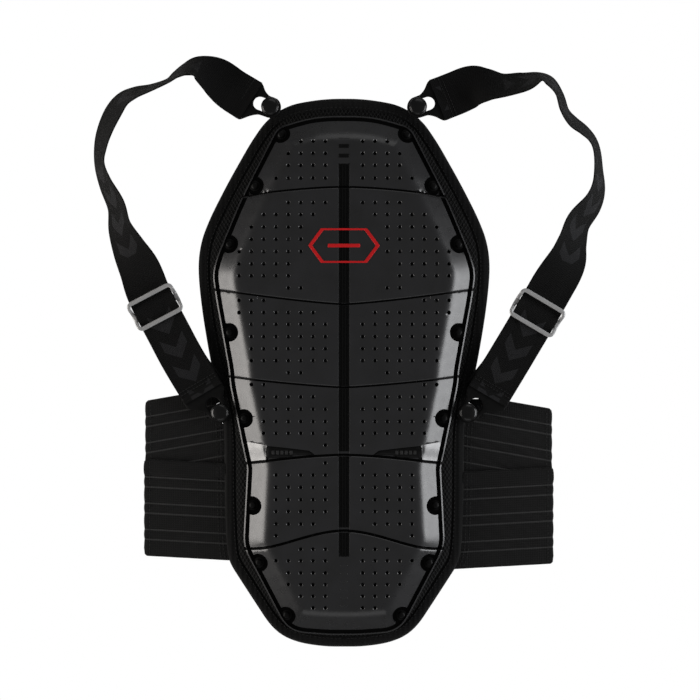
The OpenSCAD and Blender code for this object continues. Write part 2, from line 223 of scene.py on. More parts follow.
def seam_drop(i, x, y):
    """How far plate i's outer face drops towards its seams."""
    drop = np.zeros(np.shape(x))
    for k, inward in ((i - 1, -1), (i, 1)):
        if k in (0, 6):
            continue
        e = (y - seam_y(k, x)) * inward
        if tucked(i, k):
            gap = SEAM_GAPS[k]
            tuck = np.interp(np.abs(x), LAP_SIDE, LAP_DROPS[k])
            drop += LAP_EASE * smooth(-e, -16, -gap - SEAM_WALL)
            drop += (tuck - LAP_EASE) * (1 - ramp(e, gap, gap + SEAM_WALL))
        else:
            drop += 0.55 * (1 - ramp(e, 0, 0.9)) ** 2
    return drop


def pockets(i):
    return [(side * (width_at(PLATE_LINE, y) - RIVET_INSET), y) for y in RIVET_ROWS[i] for side in (1, -1)]


def in_window(x, y, grow):
    """Whether points lie in the wedge windows, with the outline grown outwards."""
    return polygon_contains(offset_polygon(WINDOW, grow), np.abs(x), y)


def in_label(x, y):
    """Whether points lie in the polished fields beside the wedge windows."""
    px = np.abs(x)
    top = np.interp(px, (67.5, LABEL_END), LABEL_TOP)
    return (px > LABEL_X - 0.05) & (y < top + 0.06) & (depth(PLATE_LINE, x, y) > GROOVE[3] - 0.05)


def offset_polygon(poly, grow):
    """A convex polygon moved outwards along its corners' bisectors."""
    centre = np.mean(poly, axis=0)
    out = []
    for n, p in enumerate(poly):
        a, b = np.array(poly[n - 1]), np.array(poly[(n + 1) % len(poly)])
        p = np.array(p, float)
        u, v = (p - a) / np.linalg.norm(p - a), (b - p) / np.linalg.norm(b - p)
        m = np.array([u[1] + v[1], -u[0] - v[0]])
        m /= np.linalg.norm(m)
        if m @ (p - centre) < 0:
            m = -m
        out.append(tuple(p + m * grow))
    return out


def plate_z(i, x, y, plain=False):
    """Height of plate i's outer face."""
    d = depth(PLATE_LINE, x, y)
    z = LIP_Z + dome_height(d) - seam_drop(i, x, y)
    if plain:
        return z
    in_channel = (y > CHANNEL_ENDS[0]) & (y < CHANNEL_ENDS[1])
    eased, ease_drop = CHANNEL_EASE
    wall = CHANNEL_DEPTH * (1 - ramp(np.abs(x), *CHANNEL)) + ease_drop * (1 - ramp(np.abs(x), *eased))
    z -= np.where(in_channel, wall, 0)
    for cx, cy in pockets(i):
        r = np.hypot(x - cx, y - cy)
        floor = LIP_Z + GROOVE_Z
        z = np.where(d > GROOVE[2], floor + (z - floor) * ramp(r, *POCKET_R), z)
    for cx, cy in vents(i):
        z = z - VENT_EASE * (1 - ramp(np.hypot(x - cx, y - cy), VENT_R, VENT_R + VENT_EASE))
    if i == 4:
        z -= WINDOW_DEPTH * in_window(x, y, -0.1)
        z -= LABEL_DEPTH * in_label(x, y)
    return z


# ---------------------------------------------------------------- mesh tools


def add_mesh(name, verts, faces, materials, uv=None, face_material=None, sharp=35):
    """A smooth-shaded mesh object; verts are in mm."""
    mesh = bpy.data.meshes.new(name)
    faces = [tuple(map(int, f)) for f in faces]
    mesh.from_pydata([tuple(v) for v in np.asarray(verts, float) * MM], [], faces)
    for material in materials:
        mesh.materials.append(material)
    if face_material is not None:
        mesh.polygons.foreach_set("material_index", np.asarray(face_material, np.int32))
    if uv is not None:
        layer = mesh.uv_layers.new(name="UVMap")
        index = np.empty(len(mesh.loops), np.int32)
        mesh.loops.foreach_get("vertex_index", index)
        layer.data.foreach_set("uv", np.asarray(uv, np.float32)[index].ravel())
    mesh.validate()
    mesh.shade_smooth()
    mesh.set_sharp_from_angle(angle=math.radians(sharp))
    obj = bpy.data.objects.new(name, mesh)
    bpy.context.scene.collection.objects.link(obj)
    return obj


def loop_edges(first, count, closed=True):
    edges = [(first + n, first + n + 1) for n in range(count - 1)]
    return edges + [(first + count - 1, first)] if closed else edges


class Sketch:
    """Points and edges in plan, triangulated with every edge kept."""

    def __init__(self):
        self.points, self.edges = [], []

    def add(self, pts, closed=False, joined=True):
        first = len(self.points)
        self.points += [Vector((float(p[0]), float(p[1]))) for p in pts]
        if joined and len(pts) > 1:
            self.edges += loop_edges(first, len(pts), closed)

    def grid(self, xs, ys, wanted):
        """Adds the points of a grid that are wanted."""
        x, y = (axis.ravel() for axis in np.meshgrid(xs, ys))
        keep = wanted(x, y)
        self.add(np.stack([x[keep], y[keep]], 1), joined=False)

    def triangles(self, wanted):
        """The points in use and the triangles whose middle is wanted."""
        verts, _, faces, *_ = geometry.delaunay_2d_cdt(self.points, self.edges, [], 0, 1e-4, False)
        flat, tris = np.array([v[:] for v in verts]), np.array([f[:] for f in faces if len(f) == 3])
        x, y = flat[tris].mean(axis=1).T
        return used_only(flat, tris[wanted(x, y)])


def inset_line(line, distance, low, high):
    """The right half of an outline moved in by a distance, between two levels."""
    step = np.gradient(line, axis=0)
    normal = np.stack([-step[:, 1], step[:, 0]], 1)
    normal /= np.linalg.norm(normal, axis=1)[:, None]
    moved = line + normal * distance
    keep = (moved[:, 1] > low) & (moved[:, 1] < high) & (moved[:, 0] >= 0)
    return moved[keep]


def arc(cx, cy, r, angles):
    return [(cx + r * math.cos(a), cy + r * math.sin(a)) for a in angles]


def circle(cx, cy, r, n, turn=0.0):
    return arc(cx, cy, r, np.linspace(0, 2 * math.pi, n, endpoint=False) + turn)


def shell(tops, bottoms, tris):
    """A closed skin from one triangulation at two heights, with walls round every open edge."""
    n = len(tops)
    edges = {}
    for a, b, c in tris:
        for e in ((a, b), (b, c), (c, a)):
            edges[e] = edges.get(e, 0) + 1
    rim = [e for e in edges if (e[1], e[0]) not in edges]
    faces = [tuple(t) for t in tris] + [(n + c, n + b, n + a) for a, b, c in tris]
    faces += [(b, a, n + a, n + b) for a, b in rim]
    return np.concatenate([tops, bottoms]), faces


def unit(v):
    return v / np.linalg.norm(v)


def used_only(points, tris):
    used = np.unique(tris)
    place = -np.ones(len(points), int)
    place[used] = np.arange(len(used))
    return points[used], place[tris]


# ---------------------------------------------------------------- materials


class Paint:
    """A node material, built with short calls. Patterns follow the UVs on pieces that bend."""

    def __init__(self, name, bends=False, **shader):
        self.material = bpy.data.materials.new(name)
        self.material.use_nodes = True
        self.tree = self.material.node_tree
        self.shader = self.tree.nodes["Principled BSDF"]
        self.coords = self.node("ShaderNodeTexCoord").outputs["UV" if bends else "Object"]
        for key, value in shader.items():
            self.shader.inputs[key.replace("_", " ").title().replace("Ior", "IOR")].default_value = value

    def node(self, kind, inputs=None, **settings):
        made = self.tree.nodes.new(kind)
        for key, value in settings.items():
            setattr(made, key, value)
        for key, value in (inputs or {}).items():
            self.feed(value, made.inputs[key])
        return made

    def feed(self, value, socket):
        if isinstance(value, bpy.types.NodeSocket):
            self.tree.links.new(value, socket)
        else:
            socket.default_value = value

    def math(self, operation, a, b=0.0):
        return self.node("ShaderNodeMath", {0: a, 1: b}, operation=operation).outputs[0]

    def wave(self, value, per_metre):
        """A sine wave from -1 to 1, with that many waves to the metre."""
        return self.math("SINE", self.math("MULTIPLY", value, per_metre * 2 * math.pi))

    def xy(self):
        split = self.node("ShaderNodeSeparateXYZ", {0: self.coords})
        return split.outputs[0], split.outputs[1]

    def stretched(self, scale):
        return self.node("ShaderNodeMapping", {"Vector": self.coords, "Scale": scale}).outputs[0]

    def noise(self, scale, detail=3.0, vector=None):
        inputs = {"Vector": vector or self.coords, "Scale": scale, "Detail": detail}
        return self.node("ShaderNodeTexNoise", inputs).outputs[0]

    def remap(self, value, low, high, to_low=0.0, to_high=1.0):
        inputs = {"Value": value, "From Min": low, "From Max": high, "To Min": to_low, "To Max": to_high}
        return self.node("ShaderNodeMapRange", inputs).outputs[0]

    def mix(self, factor, a, b):
        made = self.node("ShaderNodeMix", {0: factor, 6: a, 7: b}, data_type="RGBA")
        return made.outputs[2]

    def color(self, factor, a, b):
        self.feed(self.mix(factor, a, b), self.shader.inputs["Base Color"])

    def roughness(self, value):
        self.feed(value, self.shader.inputs["Roughness"])

    def bump(self, height, strength, distance):
        made = self.node("ShaderNodeBump", {"Height": height, "Strength": strength, "Distance": distance})
        self.feed(made.outputs[0], self.shader.inputs["Normal"])


def grey(v, blue=1.0):
    return (v, v, v * blue, 1)


def plate_plastic(name, specular):
    """Moulded plastic with a satin gloss, faint clouding and a fine moulded grain."""
    p = Paint(name, specular_ior_level=specular)
    p.color(p.remap(p.noise(45.0, 4.0), 0.3, 0.7), grey(0.0125, 1.04), grey(0.0165, 1.08))
    p.roughness(p.remap(p.noise(160.0, 5.0), 0.25, 0.75, 0.26, 0.31))
    p.bump(p.noise(2600.0, 2.0), 0.06, 0.0001)
    return p.material


def matte_black(name, level, roughness, specular):
    p = Paint(name, specular_ior_level=specular)
    p.color(p.noise(90.0), grey(level), grey(level * 1.7))
    p.roughness(p.remap(p.noise(300.0), 0.3, 0.7, roughness * 0.85, roughness * 1.15))
    p.bump(p.noise(1800.0, 2.0), 0.2, 0.0001)
    return p.material


def strip_rubber():
    """Black channel strip with fine lengthwise lines."""
    p = Paint("spine_rubber", specular_ior_level=0.05, roughness=0.45)
    x, _ = p.xy()
    line = p.math("ABSOLUTE", p.wave(x, 210.0))
    p.color(line, grey(0.0012), grey(0.0042))
    p.bump(line, 0.5, 0.0003)
    return p.material


def gloss_black():
    p = Paint("gloss_button", specular_ior_level=0.3, coat_weight=0.12, coat_roughness=0.12)
    p.color(p.noise(200.0), grey(0.0015), grey(0.004))
    p.roughness(p.remap(p.noise(300.0), 0.3, 0.7, 0.2, 0.3))
    return p.material


def spacer_mesh():
    """Honeycomb spacer fabric: open cells between raised threads."""
    p = Paint("spacer_mesh", bends=True, roughness=0.75, specular_ior_level=0.12)
    x, y = p.xy()
    slant = p.math("MULTIPLY", y, 0.6)
    one = p.wave(p.math("ADD", x, slant), 150.0)
    other = p.wave(p.math("SUBTRACT", x, slant), 150.0)
    cell = p.math("ABSOLUTE", p.math("MULTIPLY", one, other))
    thread = p.math("SUBTRACT", 1.0, p.remap(cell, 0.1, 0.55))
    yarn = p.noise(3200.0, 2.0)
    level = p.math("MULTIPLY", thread, p.remap(yarn, 0.2, 0.8, 0.7, 1.15))
    p.color(level, grey(0.0008), grey(0.014))
    p.bump(p.math("ADD", thread, p.math("MULTIPLY", yarn, 0.25)), 0.9, 0.0011)
    return p.material


def woven(name, level, along, across, depth_m):
    """Woven tape or lining: yarns both ways, in waves to the metre, with loose fibres."""
    p = Paint(name, bends=True, roughness=0.8, specular_ior_level=0.1, sheen_weight=0.08)
    x, y = p.xy()
    weave = p.remap(p.math("ADD", p.wave(x, along), p.wave(y, across)), -2.0, 2.0)
    height = p.math("ADD", weave, p.math("MULTIPLY", p.noise(2500.0, 3.0), 0.4))
    p.color(p.remap(height, 0.2, 1.2), grey(level * 0.5), grey(level * 1.4))
    p.bump(height, 0.7, depth_m)
    return p.material


def thread():
    p = Paint("stitch_thread", bends=True, roughness=0.7, specular_ior_level=0.15)
    p.color(p.noise(900.0), grey(0.008), grey(0.024))
    p.bump(p.noise(3500.0), 0.4, 0.0002)
    return p.material


def metal(name, level, roughness, metallic=1.0):
    """Brushed metal, or a satin metal paint where it is less than fully metallic."""
    p = Paint(name, metallic=metallic)
    p.color(p.noise(60.0), grey(level * 0.88), grey(level * 1.1))
    brushed = p.noise(400.0, 3.0, p.stretched((12, 1, 1)))
    p.roughness(p.remap(brushed, 0.2, 0.8, roughness * 0.8, roughness * 1.25))
    p.bump(brushed, 0.08, 0.0001)
    return p.material


def badge_red():
    p = Paint("badge_red", roughness=0.4, specular_ior_level=0.3)
    p.color(p.noise(200.0), (0.42, 0.004, 0.006, 1), (0.56, 0.01, 0.012, 1))
    p.bump(p.noise(1500.0), 0.1, 0.0001)
    return p.material


def honeycomb_core():
    """Aluminium honeycomb under its film."""
    p = Paint("honeycomb_core", metallic=0.6, roughness=0.45)
    cells = p.node("ShaderNodeTexVoronoi", {"Vector": p.coords, "Scale": 170.0}, feature="DISTANCE_TO_EDGE")
    wall = p.math("SUBTRACT", 1.0, p.remap(cells.outputs[0], 0.02, 0.12))
    p.color(wall, grey(0.03), grey(0.25))
    p.bump(wall, 0.8, 0.001)
    return p.material


def webbing():
    """Elastic shoulder webbing: fine lengthwise ribs, and a tonal pattern of plain chevrons."""
    p = Paint("strap_webbing", bends=True, roughness=0.8, specular_ior_level=0.06, sheen_weight=0.02)
    along, across = p.xy()
    rib = p.math("MULTIPLY", p.wave(across, 830.0), 0.6)
    pick = p.math("MULTIPLY", p.wave(along, 640.0), 0.4)
    weave = p.remap(p.math("ADD", rib, pick), -1.0, 1.0)
    height = p.math("ADD", weave, p.math("MULTIPLY", p.noise(2200.0), 0.35))
    off_centre = p.math("ABSOLUTE", across)
    phase = p.math("FRACT", p.math("MULTIPLY", p.math("SUBTRACT", along, off_centre), 42.0))
    chevron = p.math("MULTIPLY", p.math("GREATER_THAN", phase, 0.55), p.math("LESS_THAN", off_centre, 0.011))
    group = p.math("LESS_THAN", p.math("FRACT", p.math("MULTIPLY", along, 7.3)), 0.6)
    mark = p.math("MULTIPLY", p.math("MULTIPLY", chevron, group), 0.75)
    plain = p.mix(p.remap(height, 0.2, 1.3), grey(0.0022), grey(0.0078))
    p.color(mark, plain, grey(0.017, 1.06))
    p.bump(height, 0.6, 0.0004)
    return p.material


def elastic():
    """Belt elastic with dense yarns both ways and faint uneven wear."""
    p = Paint("belt_elastic", bends=True, roughness=0.8, specular_ior_level=0.1, sheen_weight=0.08)
    x, y = p.xy()
    weave = p.remap(p.math("ADD", p.wave(x, 640.0), p.wave(y, 520.0)), -2.0, 2.0)
    height = p.math("ADD", weave, p.math("MULTIPLY", p.noise(1800.0), 0.4))
    plain = p.mix(p.remap(height, 0.2, 1.3), grey(0.0024), grey(0.0085))
    p.color(p.remap(p.noise(25.0), 0.3, 0.7, 0.0, 0.35), plain, grey(0.0095))
    p.bump(height, 0.6, 0.0005)
    return p.material


def hook_fabric():
    p = Paint("closure_patch", roughness=0.9, specular_ior_level=0.1)
    hooks = p.node("ShaderNodeTexVoronoi", {"Vector": p.coords, "Scale": 900.0}).outputs[0]
    p.color(hooks, grey(0.004), grey(0.03))
    p.bump(hooks, 0.8, 0.0008)
    return p.material


MAT = {
    "plate": plate_plastic("moulded_plate", 0.5),
    "label": plate_plastic("polished_field", 1.0),
    # Near-black paint on the plates' groove floors, rivet pockets and seam gaps: painted shade, as the
    # plastic there is the plates' own colour
    "recess": matte_black("painted_recess_shade", 0.0012, 0.5, 0.06),
    "mesh": spacer_mesh(),
    "binding": woven("edge_binding", 0.0034, 230.0, 660.0, 0.0006),
    "lining": woven("inner_lining", 0.012, 360.0, 360.0, 0.0005),
    "thread": thread(),
    "rivet": matte_black("rivet_black", 0.001, 0.45, 0.16),
    "strip": strip_rubber(),
    "insert": matte_black("dark_insert", 0.0014, 0.4, 0.15),
    "mark": matte_black("grey_mark", 0.012, 0.45, 0.3),
    "hinge": matte_black("hinge_nylon", 0.006, 0.5, 0.3),
    "fitting": matte_black("fitting_nylon", 0.0022, 0.5, 0.12),
    "button": gloss_black(),
    "steel": metal("pin_steel", 0.55, 0.3),
    "adjuster": metal("adjuster_metal", 0.36, 0.4, 0.35),
    "badge": badge_red(),
    "core": honeycomb_core(),
    "webbing": webbing(),
    "elastic": elastic(),
    # Lighter colour on the belts' rib tops: a painted highlight
    "rib": woven("painted_rib_highlight", 0.03, 640.0, 900.0, 0.0003),
    "patch": hook_fabric(),
}


# ---------------------------------------------------------------- plates


def end_line(i, k, e, n=90):
    """Points across plate i at a distance in from seam k."""
    inward = -1 if k == i - 1 else 1
    reach = width_at(PLATE_LINE, SEAMS[k][1] + inward * e)
    x = np.linspace(-reach, reach, n)
    return np.stack([x, seam_y(k, x * width_at(PLATE_LINE, SEAMS[k][1]) / reach) + inward * e], 1)


def plate_boundary(i):
    """Plate i's outline in plan, anticlockwise from its lower left corner."""
    low_e = -LAP if tucked(i, i) else 0.0
    high_e = -LAP if tucked(i, i - 1) else 0.0
    line = PLATE_LINE
    if i == 6:
        high = end_line(i, 5, high_e)
        right = line[line[:, 1] < high[-1, 1] - 0.3]
        return np.concatenate([right[::-1] * [-1, 1], right[1:], high[::-1]])
    low = end_line(i, i, low_e)
    if i == 1:
        right = line[line[:, 1] > low[-1, 1] + 0.3]
        return np.concatenate([low, right, right[::-1][1:] * [-1, 1]])
    high = end_line(i, i - 1, high_e)
    right = line[(line[:, 1] > low[-1, 1] + 0.3) & (line[:, 1] < high[-1, 1] - 0.3)]
    return np.concatenate([low, right, high[::-1], right[::-1] * [-1, 1]])


def in_plate(i, x, y):
    ok = inside(PLATE_LINE, x, y)
    if i < 6:
        ok &= y > seam_y(i, x) - (LAP if tucked(i, i) else 0)
    if i > 1:
        ok &= y < seam_y(i - 1, x) + (LAP if tucked(i, i - 1) else 0)
    return ok


def vents(i):
    return [
        (side * (VENT_X + VENT_PITCH * c), y)
        for y, first, last in VENTS[i]
        for c in range(first, last + 1)
        for side in (1, -1)
    ]


def in_painted_shade(i, x, y):
    """Whether points lie where shade is painted: on the floor of the groove, in a rivet pocket or in the gap
    beside an upper plate.
    """
    d = depth(PLATE_LINE, x, y)
    dark = (d > GROOVE[1]) & (d < GROOVE[2])
    for cx, cy in pockets(i):
        dark |= (d > GROOVE[1]) & (np.hypot(x - cx, y - cy) < POCKET_R[0])
    for k, inward in ((i - 1, -1), (i, 1)):
        if tucked(i, k):
            dark |= (y - seam_y(k, x)) * inward < SEAM_GAPS[k]
    return dark


def build_plate(i):
    sketch = Sketch()
    edge = plate_boundary(i)
    sketch.add(edge, closed=True)
    low, high = edge[:, 1].min(), edge[:, 1].max()
    for d in (0.4, 0.8, *GROOVE, 7.0, 9.5, 12.0, 14.5, 17.0, 19.5, 22.0, 24.5, 27.0):
        line = inset_line(PLATE_LINE, d, low - 2, high + 2)
        crisp = d in GROOVE
        for part in (line, line * [-1, 1]):
            sketch.add(part, joined=crisp)
    for k in (i - 1, i):
        if k in (0, 6):
            continue
        for e in (SEAM_GAPS[k], SEAM_GAPS[k] + SEAM_WALL) if tucked(i, k) else (0.45, 0.9):
            sketch.add(end_line(i, k, e))
    for x in np.outer((-1, 1), (*CHANNEL, CHANNEL_EASE[0][1])).ravel():
        levels = (max(low - 2, CHANNEL_ENDS[0]), min(high + 2, CHANNEL_ENDS[1]))
        if levels[1] > levels[0]:
            sketch.add([(x, y) for y in np.arange(levels[0], levels[1] + 0.1, 3.0)])
    holes = vents(i)
    for cx, cy in holes:
        sketch.add(circle(cx, cy, VENT_R, 14), closed=True)
        sketch.add(circle(cx, cy, VENT_R + VENT_EASE, 14, 0.2), joined=False)
    for cx, cy in pockets(i):
        for r in POCKET_R:
            rim = np.array(circle(cx, cy, r, 44))
            keep = depth(PLATE_LINE, rim[:, 0], rim[:, 1]) > GROOVE[2] - 0.6
            turn = int(np.argmin(keep)) if not keep.all() else 0
            rim, keep = np.roll(rim, -turn, axis=0), np.roll(keep, -turn)
            sketch.add(rim[keep])
    if i == 4:
        for side in (1, -1):
            for grow in (-0.2, 0.05):
                ring = np.array(offset_polygon(WINDOW, grow)) * [side, 1]
                sketch.add(resampled(np.concatenate([ring, ring[:1]]), 3.0)[:-1], closed=True)
            for lift in (0.0, 0.12):
                corners = [(LABEL_X, -38.5), (LABEL_X, LABEL_TOP[0] + lift), (LABEL_END, LABEL_TOP[1] + lift)]
                sketch.add([(side * x, y) for x, y in corners])

    def clear_of_vents(x, y, r):
        return np.all([np.hypot(x - cx, y - cy) > r for cx, cy in holes], axis=0)

    def on_crown(x, y):
        return in_plate(i, x, y) & (depth(PLATE_LINE, x, y) > 28) & clear_of_vents(x, y, VENT_R + 1.0)

    def solid(x, y):
        return polygon_contains(edge, x, y) & clear_of_vents(x, y, VENT_R * 0.97)

    sketch.grid(np.arange(-114, 115, FACE_STEP), np.arange(low, high, FACE_STEP), on_crown)
    flat, tris = sketch.triangles(solid)
    z = plate_z(i, flat[:, 0], flat[:, 1])
    below = np.maximum(z - PLATE_WALL, CORE_TOP)
    verts, faces = shell(np.column_stack([flat, z]), np.column_stack([flat, below]), tris)
    # Slot 2 is painted shade on the groove floors, rivet pockets and seam gaps; slot 1 is the polished field
    # on plate 4
    finish_and_shade = np.zeros(len(faces), int)
    x, y = flat[tris].mean(axis=1).T
    finish_and_shade[: len(tris)] = np.where(in_painted_shade(i, x, y), 2, in_label(x, y) & (i == 4))
    materials = [MAT["plate"], MAT["label"], MAT["recess"]]
    obj = add_mesh(f"plate_shell_{i}", verts, faces, materials, None, finish_and_shade, sharp=32)
    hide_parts(f"plate_{i}")
    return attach(obj, f"segment_{i}")


for number in range(1, 7):
    build_plate(number)


# ---------------------------------------------------------------- fittings on the plates


def place(obj, body, material_slot, *nodes):
    """Rides a piece on its body, in place of CAD nodes."""
    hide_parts(*nodes)
    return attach(obj, body)


def lathe(name, profile, places, material, n=40):
    """Turned pieces at several places in one mesh; the profile is (radius, Z) from the middle of the top."""
    verts, faces = [], []
    for cx, cy, lift in places:
        first = len(verts)
        verts.append((cx, cy, profile[0][1] + lift))
        for r, z in profile[1:]:
            verts += [(x, y, z + lift) for x, y in circle(cx, cy, r, n)]
        for c in range(n):
            d = (c + 1) % n
            faces.append((first, first + 1 + c, first + 1 + d))
            for ring in range(len(profile) - 2):
                low = first + 1 + ring * n
                faces.append((low + c, low + n + c, low + n + d, low + d))
        faces.append(tuple(first + 1 + (len(profile) - 2) * n + c for c in reversed(range(n))))
    return add_mesh(name, verts, faces, [material], sharp=50)


# Profile of a rivet with its washer: radius and Z
RIVET = [
    (0, 15.4), (1.4, 15.35), (2.4, 15.1), (3.0, 14.6), (3.2, 14.0), (3.4, 13.9), (4.2, 13.85), (4.6, 13.7),
    (4.7, 13.4), (2.5, 13.3), (2.5, 9.1),
]


def build_rivets(i):
    obj = lathe(f"rivet_set_{i}", RIVET, [(x, y, 0) for x, y in pockets(i)], MAT["rivet"])
    return place(obj, f"segment_{i}", "rivet", f"rivets_{i}")


# Half-width of the channel strip, and where its lengthwise lines and grooves lie
STRIP_HALF = 4.3
STRIP_LINES = (4.3, 4.1, 3.1, 2.9, 2.5, 2.3, 0.25, 0.0)


def build_strip(i):
    """Channel strip with lengthwise lines, over the part of plate i that shows."""
    from_seam = [1.7 if tucked(i, k) else 0.25 for k in (i, i - 1)]
    low = max(seam_y(i, 0.0) + from_seam[0], CHANNEL_ENDS[0] + 0.5)
    high = min(seam_y(i - 1, 0.0) - from_seam[1], CHANNEL_ENDS[1] - 0.5)
    levels = np.linspace(low, high, max(4, int((high - low) / 3)))
    xs = np.array(STRIP_LINES[:-1] + tuple(-x for x in reversed(STRIP_LINES)))
    sunk = np.isin(np.abs(xs), (2.9, 2.5, 0.0)) * 0.3 + (np.abs(xs) == STRIP_HALF) * 0.5
    floor = plate_z(i, np.zeros(len(levels)), levels)
    top = [(x, y, z + 0.75 - d) for y, z in zip(levels, floor) for x, d in zip(xs, sunk)]
    bottom = [(x, y, z + 0.05) for y, z in zip(levels, floor) for x in xs]
    m = len(xs)
    tris = []
    for r in range(len(levels) - 1):
        for c in range(m - 1):
            q = r * m + c
            tris += [(q, q + m, q + 1), (q + 1, q + m, q + m + 1)]
    verts, faces = shell(np.array(top), np.array(bottom), tris)
    obj = add_mesh(f"channel_strip_{i}", verts, faces, [MAT["strip"]])
    return place(obj, f"segment_{i}", "dark_insert", f"spine_strip_{i}")


def slab(name, loops, low, high, bevel, material):
    """A flat piece with eased edges. The first loop is its outline and the rest are holes; low and high give
    the heights of its faces at X and Y."""
    rings = [resampled(np.concatenate([loop, loop[:1]]), 1.2)[:-1] for loop in map(np.array, loops)]
    sketch = Sketch()
    for n, ring in enumerate(rings):
        sketch.add(ring, closed=True)
        turn = signed_area(ring) * (1 if n == 0 else -1)
        step = np.roll(ring, -1, axis=0) - np.roll(ring, 1, axis=0)
        normal = np.stack([-step[:, 1], step[:, 0]], 1) / np.linalg.norm(step, axis=1)[:, None]
        for t in (0.3, 1.0):
            sketch.add(ring + normal * bevel * t * math.copysign(1, turn), joined=False)

    def from_edge(x, y):
        return np.min([distance(np.concatenate([r, r[:1]]), x, y) for r in rings], axis=0)

    def solid(x, y):
        within, *cut = [polygon_contains(r, x, y) for r in rings]
        return within & ~np.any(cut, axis=0) if cut else within

    (x0, y0), (x1, y1) = rings[0].min(axis=0), rings[0].max(axis=0)
    sketch.grid(np.arange(x0, x1, 2.4), np.arange(y0, y1, 2.4), lambda x, y: from_edge(x, y) > bevel * 1.3)
    flat, tris = sketch.triangles(solid)
    x, y = flat.T
    ease = bevel - np.sqrt(np.clip(bevel**2 - np.clip(bevel - from_edge(x, y), 0, None) ** 2, 0, None))
    tops = np.column_stack([flat, high(x, y) - ease])
    bottoms = np.column_stack([flat, low(x, y) + ease])
    verts, faces = shell(tops, bottoms, tris)
    return add_mesh(name, verts, faces, [material], sharp=60)


def signed_area(ring):
    return float((ring[:, 0] * np.roll(ring[:, 1], -1) - np.roll(ring[:, 0], -1) * ring[:, 1]).sum() / 2)


def level(z):
    return lambda x, y: np.full(np.shape(x), float(z))


def on_plate(i, lift):
    return lambda x, y: plate_z(i, x, y, plain=True) + lift


def join(objects, name):
    """One object from several."""
    keep = objects[0]
    with bpy.context.temp_override(active_object=keep, selected_editable_objects=objects):
        bpy.ops.object.join()
    keep.name = keep.data.name = name
    return keep


def rectangle(x0, x1, y0, y1):
    return [(x0, y0), (x1, y0), (x1, y1), (x0, y1)]


def rounded_rectangle(half_x, half_y, r, n=6):
    out = []
    for sx, sy, start in ((1, 1, 0), (-1, 1, 90), (-1, -1, 180), (1, -1, 270)):
        for a in np.radians(np.linspace(start, start + 90, n)):
            out.append((sx * (half_x - r) + r * math.cos(a), sy * (half_y - r) + r * math.sin(a)))
    return out


# Hexagon of the badge about its middle, and the middle's Y
BADGE = [(31, 0), (20, 15), (-20, 15), (-31, 0), (-20, -15), (20, -15)]
BADGE_AT = 150


def build_badge():
    """Plain hexagonal badge with a bar across its middle."""
    ring = [[(x * k, y * k + BADGE_AT) for x, y in BADGE] for k in (1.0, 0.885)]
    bar = rectangle(-14, 14, BADGE_AT - 1.6, BADGE_AT + 1.6)
    under, over = on_plate(2, -0.3), on_plate(2, 0.45)
    parts = [slab("badge", loops, under, over, 0.3, MAT["badge"]) for loops in (ring, [bar])]
    return place(join(parts, "hexagon_badge"), "segment_2", "emblem_red", "emblem")


def build_window():
    """Dark wedge inserts with plain raised bars, in the windows of plate 4."""
    parts = []
    for side in (1, -1):
        wedge = [(side * x, y) for x, y in offset_polygon(WINDOW, -0.35)]
        parts.append(slab("wedge", [wedge], on_plate(4, -1.65), on_plate(4, -0.75), 0.2, MAT["insert"]))
        for x in (61.5, 57.6, 53.7, 49.8, 45.9):
            bar = rectangle(x - 1.2, x + 1.2, -31.0, -27.6)
            bar = [(side * bx, by) for bx, by in bar]
            parts.append(slab("bar", [bar], on_plate(4, -0.9), on_plate(4, -0.55), 0.12, MAT["mark"]))
    return place(join(parts, "wedge_inserts"), "segment_4", "dark_insert", "window_inserts")


def build_bars(name, i, rows, half_x, half_y, rise, bevel, material):
    """Plain bars across the middle of plate i."""
    under, over = on_plate(i, -0.3), on_plate(i, rise)
    loops = [rectangle(-half_x, half_x, y - half_y, y + half_y) for y in rows]
    obj = join([slab("bar", [loop], under, over, bevel, material) for loop in loops], name)
    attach(obj, f"segment_{i}")


def build_marks():
    """Two dark bars and fine ribs over the channel on plate 1, and plain ribs below it on plate 6."""
    build_bars("top_bars", 1, (236.2, 227.8), 4.6, 1.7, 0.3, 0.25, MAT["insert"])
    for i, rows, half in ((1, (248.2, 243.4), 4.4), (6, (-127, -134, -141, -148, -155, -162), 3.2)):
        build_bars(f"moulded_ribs_{i}", i, rows, half, 0.7, 0.22, 0.2, MAT["plate"])


for number in range(1, 7):
    build_rivets(number)
    build_strip(number)
build_badge()
build_window()
build_marks()


# ---------------------------------------------------------------- padding

# Width of the padding's edge binding, the stitches' distance in from the edge and their length
BINDING_W = 9.6
PAD_STITCH = 8.1
STITCH = 2.3
PAD_DEPTHS = (0.35, 0.9, 1.8, 3.0, 5.0, 7.0, 8.6, 9.3, 9.6, 10.0, 10.8, 12.5, 15.0, 19.0)
# Pieces of the padding, each across one hinge: Y from and to, and the bodies below and above its hinge
PAD_PIECES = [
    ("neck", 152.5, 300, 192, "segment_2", "segment_1", ("pad_1",)),
    ("shoulder", 75, 152.5, 113, "segment_3", "segment_2", ("pad_2",)),
    ("middle", -0.5, 75, 37, "segment_4", "segment_3", ("pad_3", "pad_4")),
    ("waist", -76.5, -0.5, -38, "segment_5", "segment_4", ("pad_5",)),
    ("tail", -220, -76.5, -115, "segment_6", "segment_5", ("pad_6",)),
]


